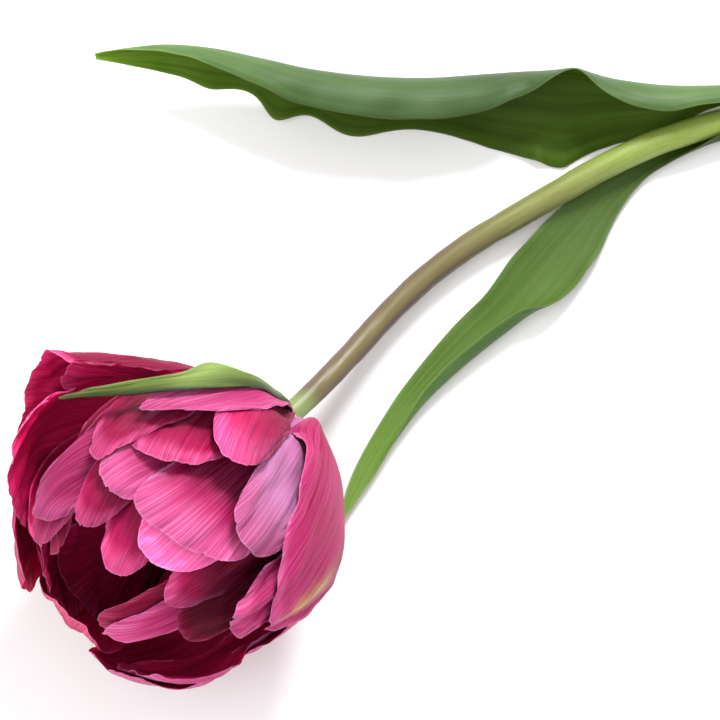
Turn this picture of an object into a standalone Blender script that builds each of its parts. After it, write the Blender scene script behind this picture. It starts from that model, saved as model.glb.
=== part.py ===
"""A cut double tulip, laid down on a flat surface.

The blossom is a ball of separate petals round a point called the centre. A place in it is given
in the blossom's own coordinates: colatitude in degrees (0 at the stalk, 180 at the opening),
azimuth in degrees round the axis (0 towards the sky, 90 towards the upper leaf, 180 towards the
table) and reach in millimetres from the centre. Lengths are in millimetres up to the last step,
which makes meshes in metres, +Z up, with the origin at the bottom centre of the whole flower.
"""

import math
from dataclasses import dataclass

import bmesh
import bpy
import numpy as np
from mathutils import Vector
from mathutils.bvhtree import BVHTree

# ---------------------------------------------------------------- driving dimensions, in mm
MM = 0.001
CENTRE = np.array([-47.9, -41.5, 41.0])     # middle of the blossom, over the table at z = 0
AXIS = (-0.617, -0.665, 0.421)              # from the stalk to the opening
SKYWARD = (0.385, 0.211, 0.898)             # azimuth 0
STALK_REACH = 46.0                          # from the centre back to the top of the stalk
PETAL_THICKNESS = 0.4
PETAL_GAP = 0.36                            # free space kept between two petals
CLAW_HALF_WIDTH = 3.2                       # narrow foot of each petal
RECEPTACLE_SLOPE = math.tan(math.radians(7.4))   # its side is a cone that points at the centre
RECEPTACLE_HEIGHT = 15.0
SEAT_GAP = 0.35                             # between a piece and what carries it
FIRST_CLAW_DEPTH = 1.6
WAIST_AT, WAIST_SPREAD = 36.0, 17.0         # degrees of colatitude where the ball narrows to its stalk
STEM_TOP_RADIUS = 3.1
STEM_FOOT_RADIUS = 3.6
LEAF_THICKNESS = 0.8
TABLE_CLEARANCE = 0.3                       # lowest middle surface of a petal

PETAL_COLUMNS = 6
PETAL_ROWS = 8
STACK_ROUNDS = 9
LOOK_ASIDE = math.radians(2.6)              # how far beside itself a petal looks for its neighbours
ASIDE_CLEARANCE = 0.6                       # share of the clearance that it keeps there
CLAW_CLEARANCE = 0.2                        # the same among the claws, which crowd round the receptacle
CLAW_ZONE = math.cos(math.radians(34))      # how near the stalk's direction the claws are
LEAST_SLANT = 0.35                          # cosine beyond which a steep facet asks for no more room
HEM_START = 0.62                            # share of a half width where a margin starts to roll


def unit(vector):
    vector = np.asarray(vector, float)
    return vector / np.linalg.norm(vector)


AXIS = unit(AXIS)
SKYWARD = unit(np.asarray(SKYWARD) - np.dot(SKYWARD, AXIS) * AXIS)
LEAFWARD = np.cross(AXIS, SKYWARD)          # azimuth 90
STALK_TOP = CENTRE - STALK_REACH * AXIS
UP = np.array([0.0, 0.0, 1.0])


# ---------------------------------------------------------------- petals
@dataclass(frozen=True)
class Petal:
    """One petal: where its midrib runs, and how wide, blunt, rolled and cupped it is."""

    name: str
    root: float                 # azimuth of its claw
    belly: tuple                # colatitude, azimuth, reach half way along
    tip: tuple                  # colatitude, azimuth, reach at the end
    half_width: tuple           # mm at the belly and towards the tip
    shoulder: float = 0.6       # share of the length where a side turns into the tip
    blunt: float = 2.3          # 1 pointed, 2 round, 4 square
    skew: float = 0.0           # lengthens the azimuth-plus side, shortens the other
    roll: tuple = (0.0, 0.0)    # degrees about the midrib, at the belly and at the tip
    cup: tuple = (1.0, 1.0)     # 1 follows the ball, more is a tighter cup, 0 flat
    hem: tuple = (0.0, 0.0)     # degrees that the azimuth-plus and -minus margins roll inwards
    opening: float = 0.5        # share of the length where it reaches its full width
    waist: float = 4.5          # mm that it draws in just above the stalk


PETALS = (
    Petal("bract_leaf", 34, (60, 32, 45.6), (101, 67, 46.2), (5.6, 4.0), 0.6, 1.8, roll=(10, 8),
          waist=4.0),
    Petal("outer_petal_top_band", 24, (58, 25, 44.0), (92, 32, 43.4), (10, 7), 0.55, 1.7, waist=5.0),
    Petal("outer_petal_top_dome", 4, (57, 7, 45.0), (90, 6, 43.8), (10, 10), 0.62, 2.6, cup=(1.0, 1.5)),
    Petal("outer_petal_right", -52, (60, -51, 44.6), (108, -57, 41.4), (20, 14), 0.66, 2.4, cup=(1.1, 1.3),
          opening=0.3, waist=0.0),
    Petal("outer_petal_flared", 92, (58, 90, 40.0), (95, 92, 51.3), (17, 15), 0.8, 3.6, skew=-0.05,
          roll=(-8, -24), cup=(0.9, 0.4), hem=(0, 140), waist=0.0),
    Petal("outer_petal_under_left", 158, (62, 160, 43.5), (112, 158, 42.5), (20, 16)),
    Petal("outer_petal_under_middle", -158, (62, -158, 43.5), (112, -158, 42.5), (20, 16)),
    Petal("outer_petal_under_right", -112, (60, -106, 43.4), (106, -100, 40.6), (20, 16)),
    Petal("outer_petal_low_left", 136, (78, 134, 42.6), (140, 120, 43.2), (17, 13), 0.64),
    Petal("outer_petal_bottom", -126, (76, -126, 44.4), (138, -127, 47.4), (21, 18), 0.66),
    Petal("outer_petal_left", 118, (76, 114, 41.4), (127, 109, 47.0), (20, 18), 0.66, 2.8, cup=(0.9, 0.7)),
    Petal("outer_petal_foot", 176, (78, 176, 43.0), (138, 178, 44.0), (19, 15), 0.64),
    Petal("middle_petal_mauve", -24, (58, -22, 44.4), (103, -28, 43.0), (15, 13.5), 0.7, 2.6,
          opening=0.35, waist=1.5),
    Petal("middle_petal_back", 82, (60, 82, 39.5), (90, 83, 47.0), (12, 9), 0.5, 1.8, roll=(0, 20),
          cup=(1.1, 1.3), waist=0.0),
    Petal("middle_petal_fold", 56, (66, 53, 43.0), (116, 43, 43.0), (13, 9), 0.58, 2.0),
    Petal("middle_petal_top", 30, (64, 31, 43.4), (107, 30, 42.8), (18, 15), 0.6, 2.6),
    Petal("middle_petal_cup", 150, (78, 152, 42.2), (142, 148, 43.2), (15, 12), 0.62),
    Petal("middle_petal_bottom", -104, (78, -108, 43.2), (143, -111, 45.2), (22, 18), 0.66, 2.6),
    Petal("middle_petal_left", 44, (84, 50, 41.8), (140, 76, 43.2), (11, 10), 0.62, 2.4),
    Petal("middle_petal_centre", 8, (66, 8, 43.0), (123, 10, 42.4), (24, 22), 0.72, 3.4, skew=0.09),
    Petal("middle_petal_centre_left", 32, (70, 37, 42.2), (125, 41, 42.6), (13, 11), 0.62, 2.4),
    Petal("middle_petal_point", 128, (86, 124, 41.0), (152, 126, 44.4), (10, 7), 0.5, 1.6),
    Petal("inner_petal_ragged", -56, (76, -50, 41.4), (119, -48, 41.6), (11, 10), 0.66, 2.6),
    Petal("inner_petal_strip", 130, (86, 134, 38.4), (152, 100, 43.4), (9, 7), 0.6),
    Petal("inner_petal_low", -10, (78, -9, 41.2), (132, -6, 41.2), (15, 13), 0.68, 2.6),
    Petal("inner_petal_lip", -146, (86, -150, 38.6), (161, -150, 39.6), (14, 11), 0.62),
    Petal("inner_petal_rim", -90, (84, -74, 39.4), (130, -60, 41.2), (10, 8), 0.64),
    Petal("inner_petal_bright", -78, (98, -66, 39.0), (164, -64, 41.6), (10, 8), 0.6, 2.0),
    Petal("inner_petal_folded", -38, (82, -31, 40.0), (138, -29, 40.6), (12, 8), 0.6, 1.9, cup=(1.2, 1.9)),
    Petal("inner_petal_tongue", 16, (86, 20, 39.6), (150, 16, 41.4), (12.5, 11), 0.66, 2.4),
    Petal("inner_petal_narrow", 118, (90, 118, 36.0), (157, 74, 41.8), (7, 6), 0.6),
    Petal("inner_petal_small_cup", 52, (88, 50, 40.2), (141, 43, 41.6), (10.5, 9.5), 0.64, 2.4, cup=(1.1, 1.6)),
    Petal("inner_petal_cup", 178, (88, 176, 36.5), (166, 180, 36.5), (18, 15), 0.64, 2.6),
    Petal("heart_petal_left", 110, (84, 108, 32.0), (134, 106, 31.0), (10, 7), 0.55),
    Petal("heart_petal_right", -70, (84, -84, 32.0), (130, -84, 31.0), (10, 7), 0.55),
)


def through(first, middle, last, along):
    """The parabola that is first at 0, middle at a half and last at 1."""
    bend = 2 * (first + last - 2 * middle)
    return first + (last - first - bend) * along + bend * along**2


def place(colatitude, azimuth, reach):
    """Points of the model from the blossom's own coordinates, each an array of one shape."""
    colatitude, azimuth = np.radians(colatitude), np.radians(azimuth)
    round_axis = np.cos(azimuth)[..., None] * SKYWARD + np.sin(azimuth)[..., None] * LEAFWARD
    direction = np.sin(colatitude)[..., None] * round_axis - np.cos(colatitude)[..., None] * AXIS
    return CENTRE + np.asarray(reach)[..., None] * direction


def midrib(petal, along):
    """Points of the petal's middle line, from its claw at 0 to its tip at 1."""
    root_reach = STALK_REACH - FIRST_CLAW_DEPTH
    side_gap = math.degrees((SEAT_GAP + 0.1) / root_reach)
    root_colatitude = math.degrees(math.atan(RECEPTACLE_SLOPE)) + side_gap
    colatitude = through(root_colatitude, petal.belly[0], petal.tip[0], along)
    azimuth = through(petal.root, petal.belly[1], petal.tip[1], along)
    reach = through(root_reach, petal.belly[2], petal.tip[2], along)
    reach = reach - petal.waist * np.exp(-((colatitude - WAIST_AT) / WAIST_SPREAD) ** 2)
    return place(colatitude, azimuth, reach)


def width_along(petal, along):
    """Half the petal's width: a narrow claw that opens to the belly, then draws in to the tip."""
    belly_width, tip_width = petal.half_width
    opening = np.clip(along / petal.opening, 0, 1)
    closing = np.clip(along / 0.5 - 1, 0, 1.2)
    opened = CLAW_HALF_WIDTH + (belly_width - CLAW_HALF_WIDTH) * opening**2 * (3 - 2 * opening)
    return opened + (tip_width - belly_width) * closing**2


def tip_line(petal, across):
    """How far along the petal its end margin lies, for across from -1 to 1."""
    arch = (1 - np.abs(across) ** petal.blunt) ** (1 / petal.blunt)
    return petal.shoulder + (1 - petal.shoulder) * arch + petal.skew * across


def petal_surface(petal, columns, rows):
    """A (rows + 1) by (columns + 1) net of points on the petal's middle surface."""
    steps = np.linspace(-1, 1, columns + 1)
    across = np.sin(steps * math.pi / 2)
    along = np.linspace(0, 1, rows + 1)[:, None] * tip_line(petal, across)[None, :]
    spread = np.broadcast_to(across[None, :], along.shape)
    point, ahead = midrib(petal, along), midrib(petal, along + 0.01)
    tangent = ahead - point
    tangent /= np.linalg.norm(tangent, axis=-1, keepdims=True)
    inward = CENTRE - point
    side = np.cross(tangent, inward)        # towards larger azimuth
    side /= np.linalg.norm(side, axis=-1, keepdims=True)
    inward = np.cross(side, tangent)
    roll = np.radians(through(0.0, petal.roll[0], petal.roll[1], along))[..., None]
    side, inward = (np.cos(roll) * side + np.sin(roll) * inward,
                    np.cos(roll) * inward - np.sin(roll) * side)
    half_width = width_along(petal, along)
    cup = through(1.0, petal.cup[0], petal.cup[1], along)
    return point + cross_section(petal, spread, half_width, cup / petal.belly[2], side, inward)


def cross_section(petal, spread, half_width, bend, side, inward, pieces=24):
    """The way from the midrib out to each point, along an arc that ends in a rolled hem."""
    hem = np.where(spread > 0, petal.hem[0], petal.hem[1])
    offset = np.zeros(spread.shape + (3,))
    for piece in range(pieces):
        share = (piece + 0.5) / pieces * np.abs(spread)
        turn = bend * share * half_width
        turn = turn + np.radians(hem) * np.clip((share - HEM_START) / (1 - HEM_START), 0, 1) ** 1.3
        step = half_width * np.abs(spread) / pieces
        outward = np.sign(spread)[..., None] * np.cos(turn)[..., None] * side
        offset += step[..., None] * (outward + np.sin(turn)[..., None] * inward)
    return offset


def net_faces(rows, columns):
    """Quads of a (rows + 1) by (columns + 1) net, seen from outside the blossom."""
    wide = columns + 1
    return [(row * wide + column, row * wide + column + 1,
             (row + 1) * wide + column + 1, (row + 1) * wide + column)
            for row in range(rows) for column in range(columns)]


def halved(corners):
    """The two triangles of a quad."""
    a, b, c, d = corners
    return (a, b, c), (a, c, d)


def faceted_samples(net, spots=3):
    """Points spread over the net's quads, their quads' normals and their corner numbers."""
    rows, columns = net.shape[0] - 1, net.shape[1] - 1
    corners = np.array(net_faces(rows, columns))
    flat = net.reshape(-1, 3)[corners]
    normal = np.cross(flat[:, 2] - flat[:, 0], flat[:, 3] - flat[:, 1])
    normal /= np.linalg.norm(normal, axis=1, keepdims=True)
    shares = np.linspace(0, 1, spots)
    points = []
    for s in shares:
        for t in shares:
            weights = np.array([(1 - s) * (1 - t), s * (1 - t), s * t, (1 - s) * t])
            points.append((flat * weights[None, :, None]).sum(axis=1))
    return np.array(points), normal, corners


def directions_beside(direction, clearance):
    """The direction with its full clearance, then six more a little to each side with less."""
    aside = unit(np.cross(direction, AXIS if abs(direction @ AXIS) < 0.9 else SKYWARD))
    above = np.cross(direction, aside)
    yield direction, clearance
    share = CLAW_CLEARANCE if -direction @ AXIS > CLAW_ZONE else ASIDE_CLEARANCE
    for sixth in range(6):
        angle = sixth * math.pi / 3
        lean = math.cos(angle) * aside + math.sin(angle) * above
        yield direction + math.tan(LOOK_ASIDE) * lean, share * clearance


def free_reach(direction, placed, clearance):
    """How far from the centre a petal may lie in this direction."""
    limit = 1e3
    if direction[2] < 0:
        limit = (TABLE_CLEARANCE - CENTRE[2]) / direction[2]
    if placed is None:
        return limit
    for ray, margin in directions_beside(direction, clearance):
        hit = placed.ray_cast(Vector(CENTRE), Vector(ray))
        if hit[0] is not None:
            limit = min(limit, (np.array(hit[0]) - CENTRE) @ direction - margin)
    return limit


def pushed_in(net, placed):
    """The net, drawn towards the centre until it clears the table and every placed petal."""
    clearance = PETAL_THICKNESS + PETAL_GAP
    for _ in range(STACK_ROUNDS):
        samples, normals, corners = faceted_samples(net)
        excess = np.zeros(net.shape[0] * net.shape[1])
        for spot in samples:
            for point, normal, quad in zip(spot, normals, corners):
                reach = np.linalg.norm(point - CENTRE)
                direction = (point - CENTRE) / reach
                slant = max(abs(normal @ direction), LEAST_SLANT)
                over = reach - free_reach(direction, placed, clearance / slant)
                if over > 0:
                    excess[quad] = np.maximum(excess[quad], over)
        if not excess.any():
            break
        excess = softened(excess.reshape(net.shape[:2]))
        inward = CENTRE - net
        inward /= np.linalg.norm(inward, axis=-1, keepdims=True)
        net = net + 0.9 * excess[..., None] * inward
    return net


def softened(excess):
    """The push, spread to the points around so that no step is left in the petal."""
    padded = np.pad(excess, 1, mode="edge")
    around = (padded[:-2, 1:-1] + padded[2:, 1:-1] + padded[1:-1, :-2] + padded[1:-1, 2:]) / 4
    return np.maximum(excess, 0.75 * around)


def stacked_petals():
    """Every petal's net, each laid inside those before it, from the outermost in."""
    nets, points, faces, placed = {}, [], [], None
    for petal in PETALS:
        net = pushed_in(petal_surface(petal, PETAL_COLUMNS, PETAL_ROWS), placed)
        nets[petal.name] = net
        first = len(points)
        points.extend(net.reshape(-1, 3).tolist())
        for quad in net_faces(PETAL_ROWS, PETAL_COLUMNS):
            faces.extend(halved([first + corner for corner in quad]))
        placed = BVHTree.FromPolygons(points, faces)
    return nets


# ---------------------------------------------------------------- leaves
@dataclass(frozen=True)
class Station:
    """One cross-section of a long leaf, at a point of its midrib.

    A side is its width in mm, then the angles above the level at which it starts out from the
    midrib and ends at its margin. Past 90 degrees it comes back over the leaf.
    """

    midrib: tuple
    left: tuple
    right: tuple


UPPER_LEAF = (
    Station((133.5, 85.7, 1.9), (11.0, -50, 96), (8.0, 50, 157)),
    Station((122.0, 84.6, 2.0), (6.4, -54, 26), (9.0, 50, 150)),
    Station((110.0, 83.8, 3.4), (2.6, -62, -44), (11.5, 62, 165)),
    Station((98.0, 82.8, 5.2), (4.5, -74, -40), (12.0, 64, 178)),
    Station((84.0, 83.0, 5.8), (10.5, -62, 8), (15.0, 72, 188)),
    Station((71.0, 84.0, 6.0), (15.0, -50, 6), (14.5, 76, 168)),
    Station((59.0, 85.3, 6.0), (22.5, -34, 8), (12.0, 76, 112)),
    Station((47.0, 85.4, 6.0), (22.0, -34, 8), (14.0, 80, 165)),
    Station((35.0, 84.9, 6.2), (18.5, -40, 4), (18.5, 84, 192)),
    Station((19.0, 83.8, 6.6), (13.0, -54, 0), (20.5, 85, 202)),
    Station((3.0, 84.0, 7.2), (13.5, -58, 0), (20.0, 85, 202)),
    Station((-13.0, 85.8, 8.0), (11.0, -60, 0), (18.0, 85, 200)),
    Station((-26.0, 88.6, 9.0), (9.0, -56, 0), (14.0, 85, 190)),
    Station((-40.0, 91.8, 10.5), (8.5, -52, 0), (9.5, 84, 180)),
    Station((-53.0, 93.4, 12.0), (7.5, -48, 0), (5.5, 82, 160)),
    Station((-64.0, 92.8, 13.5), (4.0, -40, 0), (2.6, 76, 130)),
    Station((-72.5, 91.3, 14.5), (0.9, -30, -10), (0.9, 40, 60)),
)

LOWER_LEAF = (
    Station((113.0, 74.3, 2.2), (8.0, 50, 157), (6.5, -50, 36)),
    Station((101.0, 70.9, 2.2), (6.0, 50, 130), (6.5, -50, 36)),
    Station((89.5, 67.2, 1.5), (4.2, 44, 84), (4.8, -30, 0)),
    Station((78.0, 61.6, 0.9), (2.8, 14, 40), (5.0, -4, 4)),
    Station((67.0, 52.4, 0.9), (5.5, 0, 26), (6.5, 0, 12)),
    Station((57.5, 41.0, 0.9), (9.5, 0, 42), (9.0, 4, 28)),
    Station((49.0, 30.5, 0.9), (11.0, 0, 66), (10.0, 5, 35)),
    Station((40.0, 20.8, 0.9), (10.5, 0, 150), (8.5, 5, 35)),
    Station((28.0, 10.3, 0.9), (9.5, 0, 172), (7.0, 5, 35)),
    Station((16.0, -1.8, 1.0), (7.2, 0, 170), (5.0, 5, 30)),
    Station((7.0, -13.5, 1.3), (4.6, 0, 100), (3.6, 0, 20)),
    Station((0.0, -25.0, 1.8), (2.8, 0, 40), (2.6, 0, 14)),
    Station((-5.0, -35.5, 2.6), (0.8, 0, 10), (0.8, 0, 8)),
)

LEAF_SIDE_STEPS = 4
LEAF_STEPS_BETWEEN = 2


def blended(values, at):
    """A smooth curve through values, one for each whole number, read at every number in at."""
    values = np.asarray(values, float)
    last = len(values) - 1
    padded = np.concatenate([2 * values[:1] - values[1:2], values, 2 * values[-1:] - values[-2:-1]])
    start = np.minimum(at.astype(int), last - 1)
    t = (at - start).reshape((-1,) + (1,) * (values.ndim - 1))
    before, here, after, beyond = (padded[start + shift] for shift in range(4))
    return here + 0.5 * t * (after - before + t * (2 * before - 5 * here + 4 * after - beyond
                                                   + t * (3 * (here - after) + beyond - before)))


def leaf_side(point, outward, side, steps):
    """Points from the midrib out to one margin, whose turn grows towards the margin."""
    width, start, end = side
    points, here = [], point
    for step in range(steps * 6):
        share = (step + 0.5) / (steps * 6)
        angle = math.radians(start + (end - start) * share)
        here = here + width / (steps * 6) * (math.cos(angle) * outward + math.sin(angle) * UP)
        if step % 6 == 5:
            points.append(here)
    return points


def leaf_surface(stations):
    """A net of points on a long leaf's middle surface, a row for each cross-section."""
    at = np.linspace(0, len(stations) - 1, (len(stations) - 1) * LEAF_STEPS_BETWEEN + 1)
    midribs = blended([station.midrib for station in stations], at)
    lefts = blended([station.left for station in stations], at)
    rights = blended([station.right for station in stations], at)
    ahead = np.gradient(midribs, axis=0)
    rows = []
    for point, forward, left, right in zip(midribs, ahead, lefts, rights):
        outward = unit(np.cross(UP, forward))
        rows.append(leaf_side(point, -outward, right, LEAF_SIDE_STEPS)[::-1] + [point]
                    + leaf_side(point, outward, left, LEAF_SIDE_STEPS))
    return np.array(rows)


# ---------------------------------------------------------------- stalk and heart
STALK_ROUTE = (                              # after the top of the stalk, which leaves along the axis
    (-4.1, 8.0, 10.6), (10.9, 24.0, 6.6), (27.4, 38.2, 5.3), (43.9, 48.1, 5.0), (60.4, 57.9, 5.0),
    (77.0, 66.8, 5.1), (93.6, 72.5, 5.1), (110.2, 77.0, 5.0), (127.0, 81.1, 4.8), (149.0, 85.2, 4.3),
    (168.0, 87.6, 3.9), (186.0, 89.2, 3.7),
)


def stalk_points():
    """Points along the stalk's middle, from under the receptacle to its cut end."""
    top = STALK_TOP
    route = np.array([top, top - 16.0 * AXIS, *STALK_ROUTE])
    return blended(route, np.linspace(0, len(route) - 1, (len(route) - 1) * 3 + 1))


def add_stem():
    """The stalk: a bevelled curve that thickens towards its foot."""
    points = stalk_points()
    curve = bpy.data.curves.new("stem", "CURVE")
    curve.dimensions = "3D"
    curve.bevel_depth = STEM_FOOT_RADIUS * MM
    curve.bevel_resolution = 3
    curve.use_fill_caps = True
    spline = curve.splines.new("POLY")
    spline.points.add(len(points) - 1)
    for number, point in enumerate(points):
        share = min(1.0, 2.2 * number / (len(points) - 1))
        radius = STEM_TOP_RADIUS + (STEM_FOOT_RADIUS - STEM_TOP_RADIUS) * share
        spline.points[number].co = (*(point * MM), 1.0)
        spline.points[number].radius = radius / STEM_FOOT_RADIUS
    stem = bpy.data.objects.new("stem", curve)
    bpy.context.collection.objects.link(stem)
    return stem


def turned(name, profile, base, along, sides):
    """A solid of revolution from (height, radius) pairs, closed by a point at each end."""
    across = unit(np.cross(along, (0.3, -0.8, 0.5)))
    other = np.cross(along, across)
    mesh = bmesh.new()
    low = mesh.verts.new((base + profile[0][0] * along) * MM)
    high = mesh.verts.new((base + profile[-1][0] * along) * MM)
    rings = []
    for height, radius in profile[1:-1]:
        turns = [2 * math.pi * number / sides for number in range(sides)]
        rings.append([mesh.verts.new((base + height * along + radius * (math.cos(turn) * across
                                      + math.sin(turn) * other)) * MM) for turn in turns])
    for number in range(sides):
        after = (number + 1) % sides
        mesh.faces.new((low, rings[0][after], rings[0][number]))
        mesh.faces.new((high, rings[-1][number], rings[-1][after]))
        for lower, upper in zip(rings, rings[1:]):
            mesh.faces.new((lower[number], lower[after], upper[after], upper[number]))
    return finished(name, mesh)


def add_receptacle():
    """The swollen top of the stalk. Its side points at the blossom's centre, as the claws do."""
    low = SEAT_GAP
    foot = (STALK_REACH - FIRST_CLAW_DEPTH) * RECEPTACLE_SLOPE
    top_reach = STALK_REACH - RECEPTACLE_HEIGHT
    profile = [(low, 0.0), (low, STEM_TOP_RADIUS), (FIRST_CLAW_DEPTH * 0.6, foot), (FIRST_CLAW_DEPTH, foot),
               (RECEPTACLE_HEIGHT - 1.0, (top_reach + 1.0) * RECEPTACLE_SLOPE),
               (RECEPTACLE_HEIGHT, top_reach * RECEPTACLE_SLOPE - 1.0), (RECEPTACLE_HEIGHT, 0.0)]
    return turned("receptacle", profile, STALK_TOP, AXIS, 16)


def add_pistil():
    """The ovary and its three-lobed stigma, on the receptacle."""
    low = RECEPTACLE_HEIGHT + SEAT_GAP
    profile = [(low, 0.0), (low, 1.6), (low + 2.0, 2.3), (low + 10.0, 2.5), (low + 15.0, 1.7),
               (low + 16.5, 2.9), (low + 18.0, 2.2), (low + 18.0, 0.0)]
    return turned("pistil", profile, STALK_TOP, AXIS, 12)


STAMENS = 6
STAMEN_LEAN = math.radians(13)


def add_stamen(number):
    """A thin filament that leans out of the receptacle's top and ends in a long anther."""
    turn = 2 * math.pi * number / STAMENS
    outward = math.cos(turn) * SKYWARD + math.sin(turn) * LEAFWARD
    along = unit(AXIS + math.tan(STAMEN_LEAN) * outward)
    base = STALK_TOP + (RECEPTACLE_HEIGHT + SEAT_GAP) * AXIS + 2.7 * outward
    profile = [(0.25, 0.0), (0.25, 0.55), (7.0, 0.5), (8.0, 1.0), (13.5, 1.0), (15.0, 0.4), (15.0, 0.0)]
    return turned(f"stamen_{number + 1}", profile, base, along, 8)


# ---------------------------------------------------------------- objects
def finished(name, mesh):
    """An object with this name from a bmesh, with its faces turned outwards."""
    bmesh.ops.recalc_face_normals(mesh, faces=mesh.faces)
    data = bpy.data.meshes.new(name)
    mesh.to_mesh(data)
    mesh.free()
    made = bpy.data.objects.new(name, data)
    bpy.context.collection.objects.link(made)
    return made


def sheet(name, net, thickness):
    """A thin solid on both sides of a net of points."""
    mesh = bmesh.new()
    vertices = [mesh.verts.new(point * MM) for point in net.reshape(-1, 3)]
    for quad in net_faces(net.shape[0] - 1, net.shape[1] - 1):
        for triangle in halved(quad):
            mesh.faces.new([vertices[corner] for corner in triangle])
    data = bpy.data.meshes.new(name)
    mesh.to_mesh(data)
    mesh.free()
    made = bpy.data.objects.new(name, data)
    bpy.context.collection.objects.link(made)
    wall = made.modifiers.new("Thickness", "SOLIDIFY")
    wall.thickness = thickness * MM
    wall.offset = 0.0
    return made


def material(name, colour, roughness):
    """A plain living surface of one colour."""
    made = bpy.data.materials.new(name)
    made.use_nodes = True
    shader = made.node_tree.nodes["Principled BSDF"]
    shader.inputs["Base Color"].default_value = (*colour, 1.0)
    shader.inputs["Roughness"].default_value = roughness
    shader.inputs["Metallic"].default_value = 0.0
    return made


def dress(made, finish):
    made.data.materials.append(finish)
    if made.type == "MESH":
        made.data.shade_smooth()


def set_on_origin():
    """Moves every piece so that the origin is the middle of the flower's footprint."""
    bpy.context.view_layer.update()
    corners = np.array([made.matrix_world @ Vector(corner)
                        for made in bpy.context.scene.objects for corner in made.bound_box])
    low, high = corners.min(axis=0), corners.max(axis=0)
    shift = Vector((-(low[0] + high[0]) / 2, -(low[1] + high[1]) / 2, -low[2]))
    for made in bpy.context.scene.objects:
        made.location += shift


def main():
    for leftover in list(bpy.data.objects):
        bpy.data.objects.remove(leftover, do_unlink=True)
    petal_red = material("petal", (0.62, 0.06, 0.22), 0.5)
    leaf_green = material("leaf", (0.15, 0.25, 0.07), 0.5)
    stalk_green = material("stalk", (0.24, 0.2, 0.08), 0.5)
    heart_yellow = material("heart", (0.45, 0.5, 0.12), 0.6)
    anther_dark = material("anther", (0.05, 0.02, 0.05), 0.8)

    for name, net in stacked_petals().items():
        dress(sheet(name, net, PETAL_THICKNESS), leaf_green if name == "bract_leaf" else petal_red)
    dress(sheet("upper_leaf", leaf_surface(UPPER_LEAF), LEAF_THICKNESS), leaf_green)
    dress(sheet("lower_leaf", leaf_surface(LOWER_LEAF), LEAF_THICKNESS), leaf_green)
    dress(add_stem(), stalk_green)
    dress(add_receptacle(), stalk_green)
    dress(add_pistil(), heart_yellow)
    for number in range(STAMENS):
        dress(add_stamen(number), anther_dark)
    set_on_origin()


if __name__ == "__main__":
    main()
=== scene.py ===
"""The looks of a cut double tulip, laid on a pale surface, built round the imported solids.

Each petal, leaf and length of stalk is its own piece. Sizes are in millimetres and angles in
degrees up to the moment a mesh is made, which is in metres. A place in the blossom is given from
its centre: colatitude (0 at the stalk, 180 at the opening), azimuth round the axis (0 towards the
sky, 90 towards the upper leaf, 180 towards the table) and reach.
"""

import logging
import math
from collections.abc import Callable
from dataclasses import dataclass
from enum import Enum
from typing import ClassVar

import bpy
import numpy as np
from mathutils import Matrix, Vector
from mathutils.bvhtree import BVHTree


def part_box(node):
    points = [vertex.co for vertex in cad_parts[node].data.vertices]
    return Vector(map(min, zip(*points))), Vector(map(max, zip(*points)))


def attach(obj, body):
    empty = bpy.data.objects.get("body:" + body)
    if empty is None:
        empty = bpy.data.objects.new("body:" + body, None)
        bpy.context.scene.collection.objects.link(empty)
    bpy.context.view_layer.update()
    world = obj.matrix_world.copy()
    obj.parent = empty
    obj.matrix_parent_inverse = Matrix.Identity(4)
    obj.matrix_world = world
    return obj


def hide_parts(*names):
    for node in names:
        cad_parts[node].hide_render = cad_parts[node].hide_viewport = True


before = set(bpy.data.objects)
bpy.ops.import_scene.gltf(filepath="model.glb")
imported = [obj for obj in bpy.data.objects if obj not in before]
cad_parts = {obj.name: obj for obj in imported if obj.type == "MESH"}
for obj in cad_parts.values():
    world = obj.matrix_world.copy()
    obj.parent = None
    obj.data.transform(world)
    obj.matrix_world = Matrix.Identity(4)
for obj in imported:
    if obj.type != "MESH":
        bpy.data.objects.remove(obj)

LOG = logging.getLogger("tulip")
MM = 0.001
UP = np.array([0.0, 0.0, 1.0])
ROOT = "root"
Colour = tuple[float, float, float]
Triple = tuple[float, float, float]


# ---- small maths
def unit(vector: np.ndarray | Triple) -> np.ndarray:
    """The vector at length 1."""
    vector = np.asarray(vector, float)
    return vector / np.linalg.norm(vector)


def units(vectors: np.ndarray) -> np.ndarray:
    """Each vector of an array at length 1."""
    return vectors / np.maximum(np.linalg.norm(vectors, axis=-1, keepdims=True), 1e-12)


def smooth(low: float, high: float, at: np.ndarray) -> np.ndarray:
    """0 below low, 1 above high, and an S-curve between them."""
    share = np.clip((at - low) / (high - low), 0, 1)
    return share * share * (3 - 2 * share)


def through(first: float, middle: float, last: float, along: np.ndarray) -> np.ndarray:
    """The parabola that is first at 0, middle at a half and last at 1."""
    bend = 2 * (first + last - 2 * middle)
    return first + (last - first - bend) * along + bend * along**2


def wander(at: np.ndarray, seed: int, waves: float, octaves: int = 3) -> np.ndarray:
    """A smooth, irregular wave.

    Args:
        at: where to read it.
        seed: picks one wave out of many.
        waves: how many swings it makes as at goes from 0 to 1.
        octaves: how many finer waves lie on it.

    Returns:
        Values of about -1 to 1, shaped as at.
    """
    chance = np.random.default_rng(seed)
    total, weight = np.zeros_like(at, dtype=float), 0.0
    for octave in range(octaves):
        rate = waves * 1.83**octave * chance.uniform(0.85, 1.15)
        share = 0.58**octave
        total = total + share * np.sin(2 * math.pi * (rate * at + chance.uniform()))
        weight += share
    return total / weight * 1.3


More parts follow.
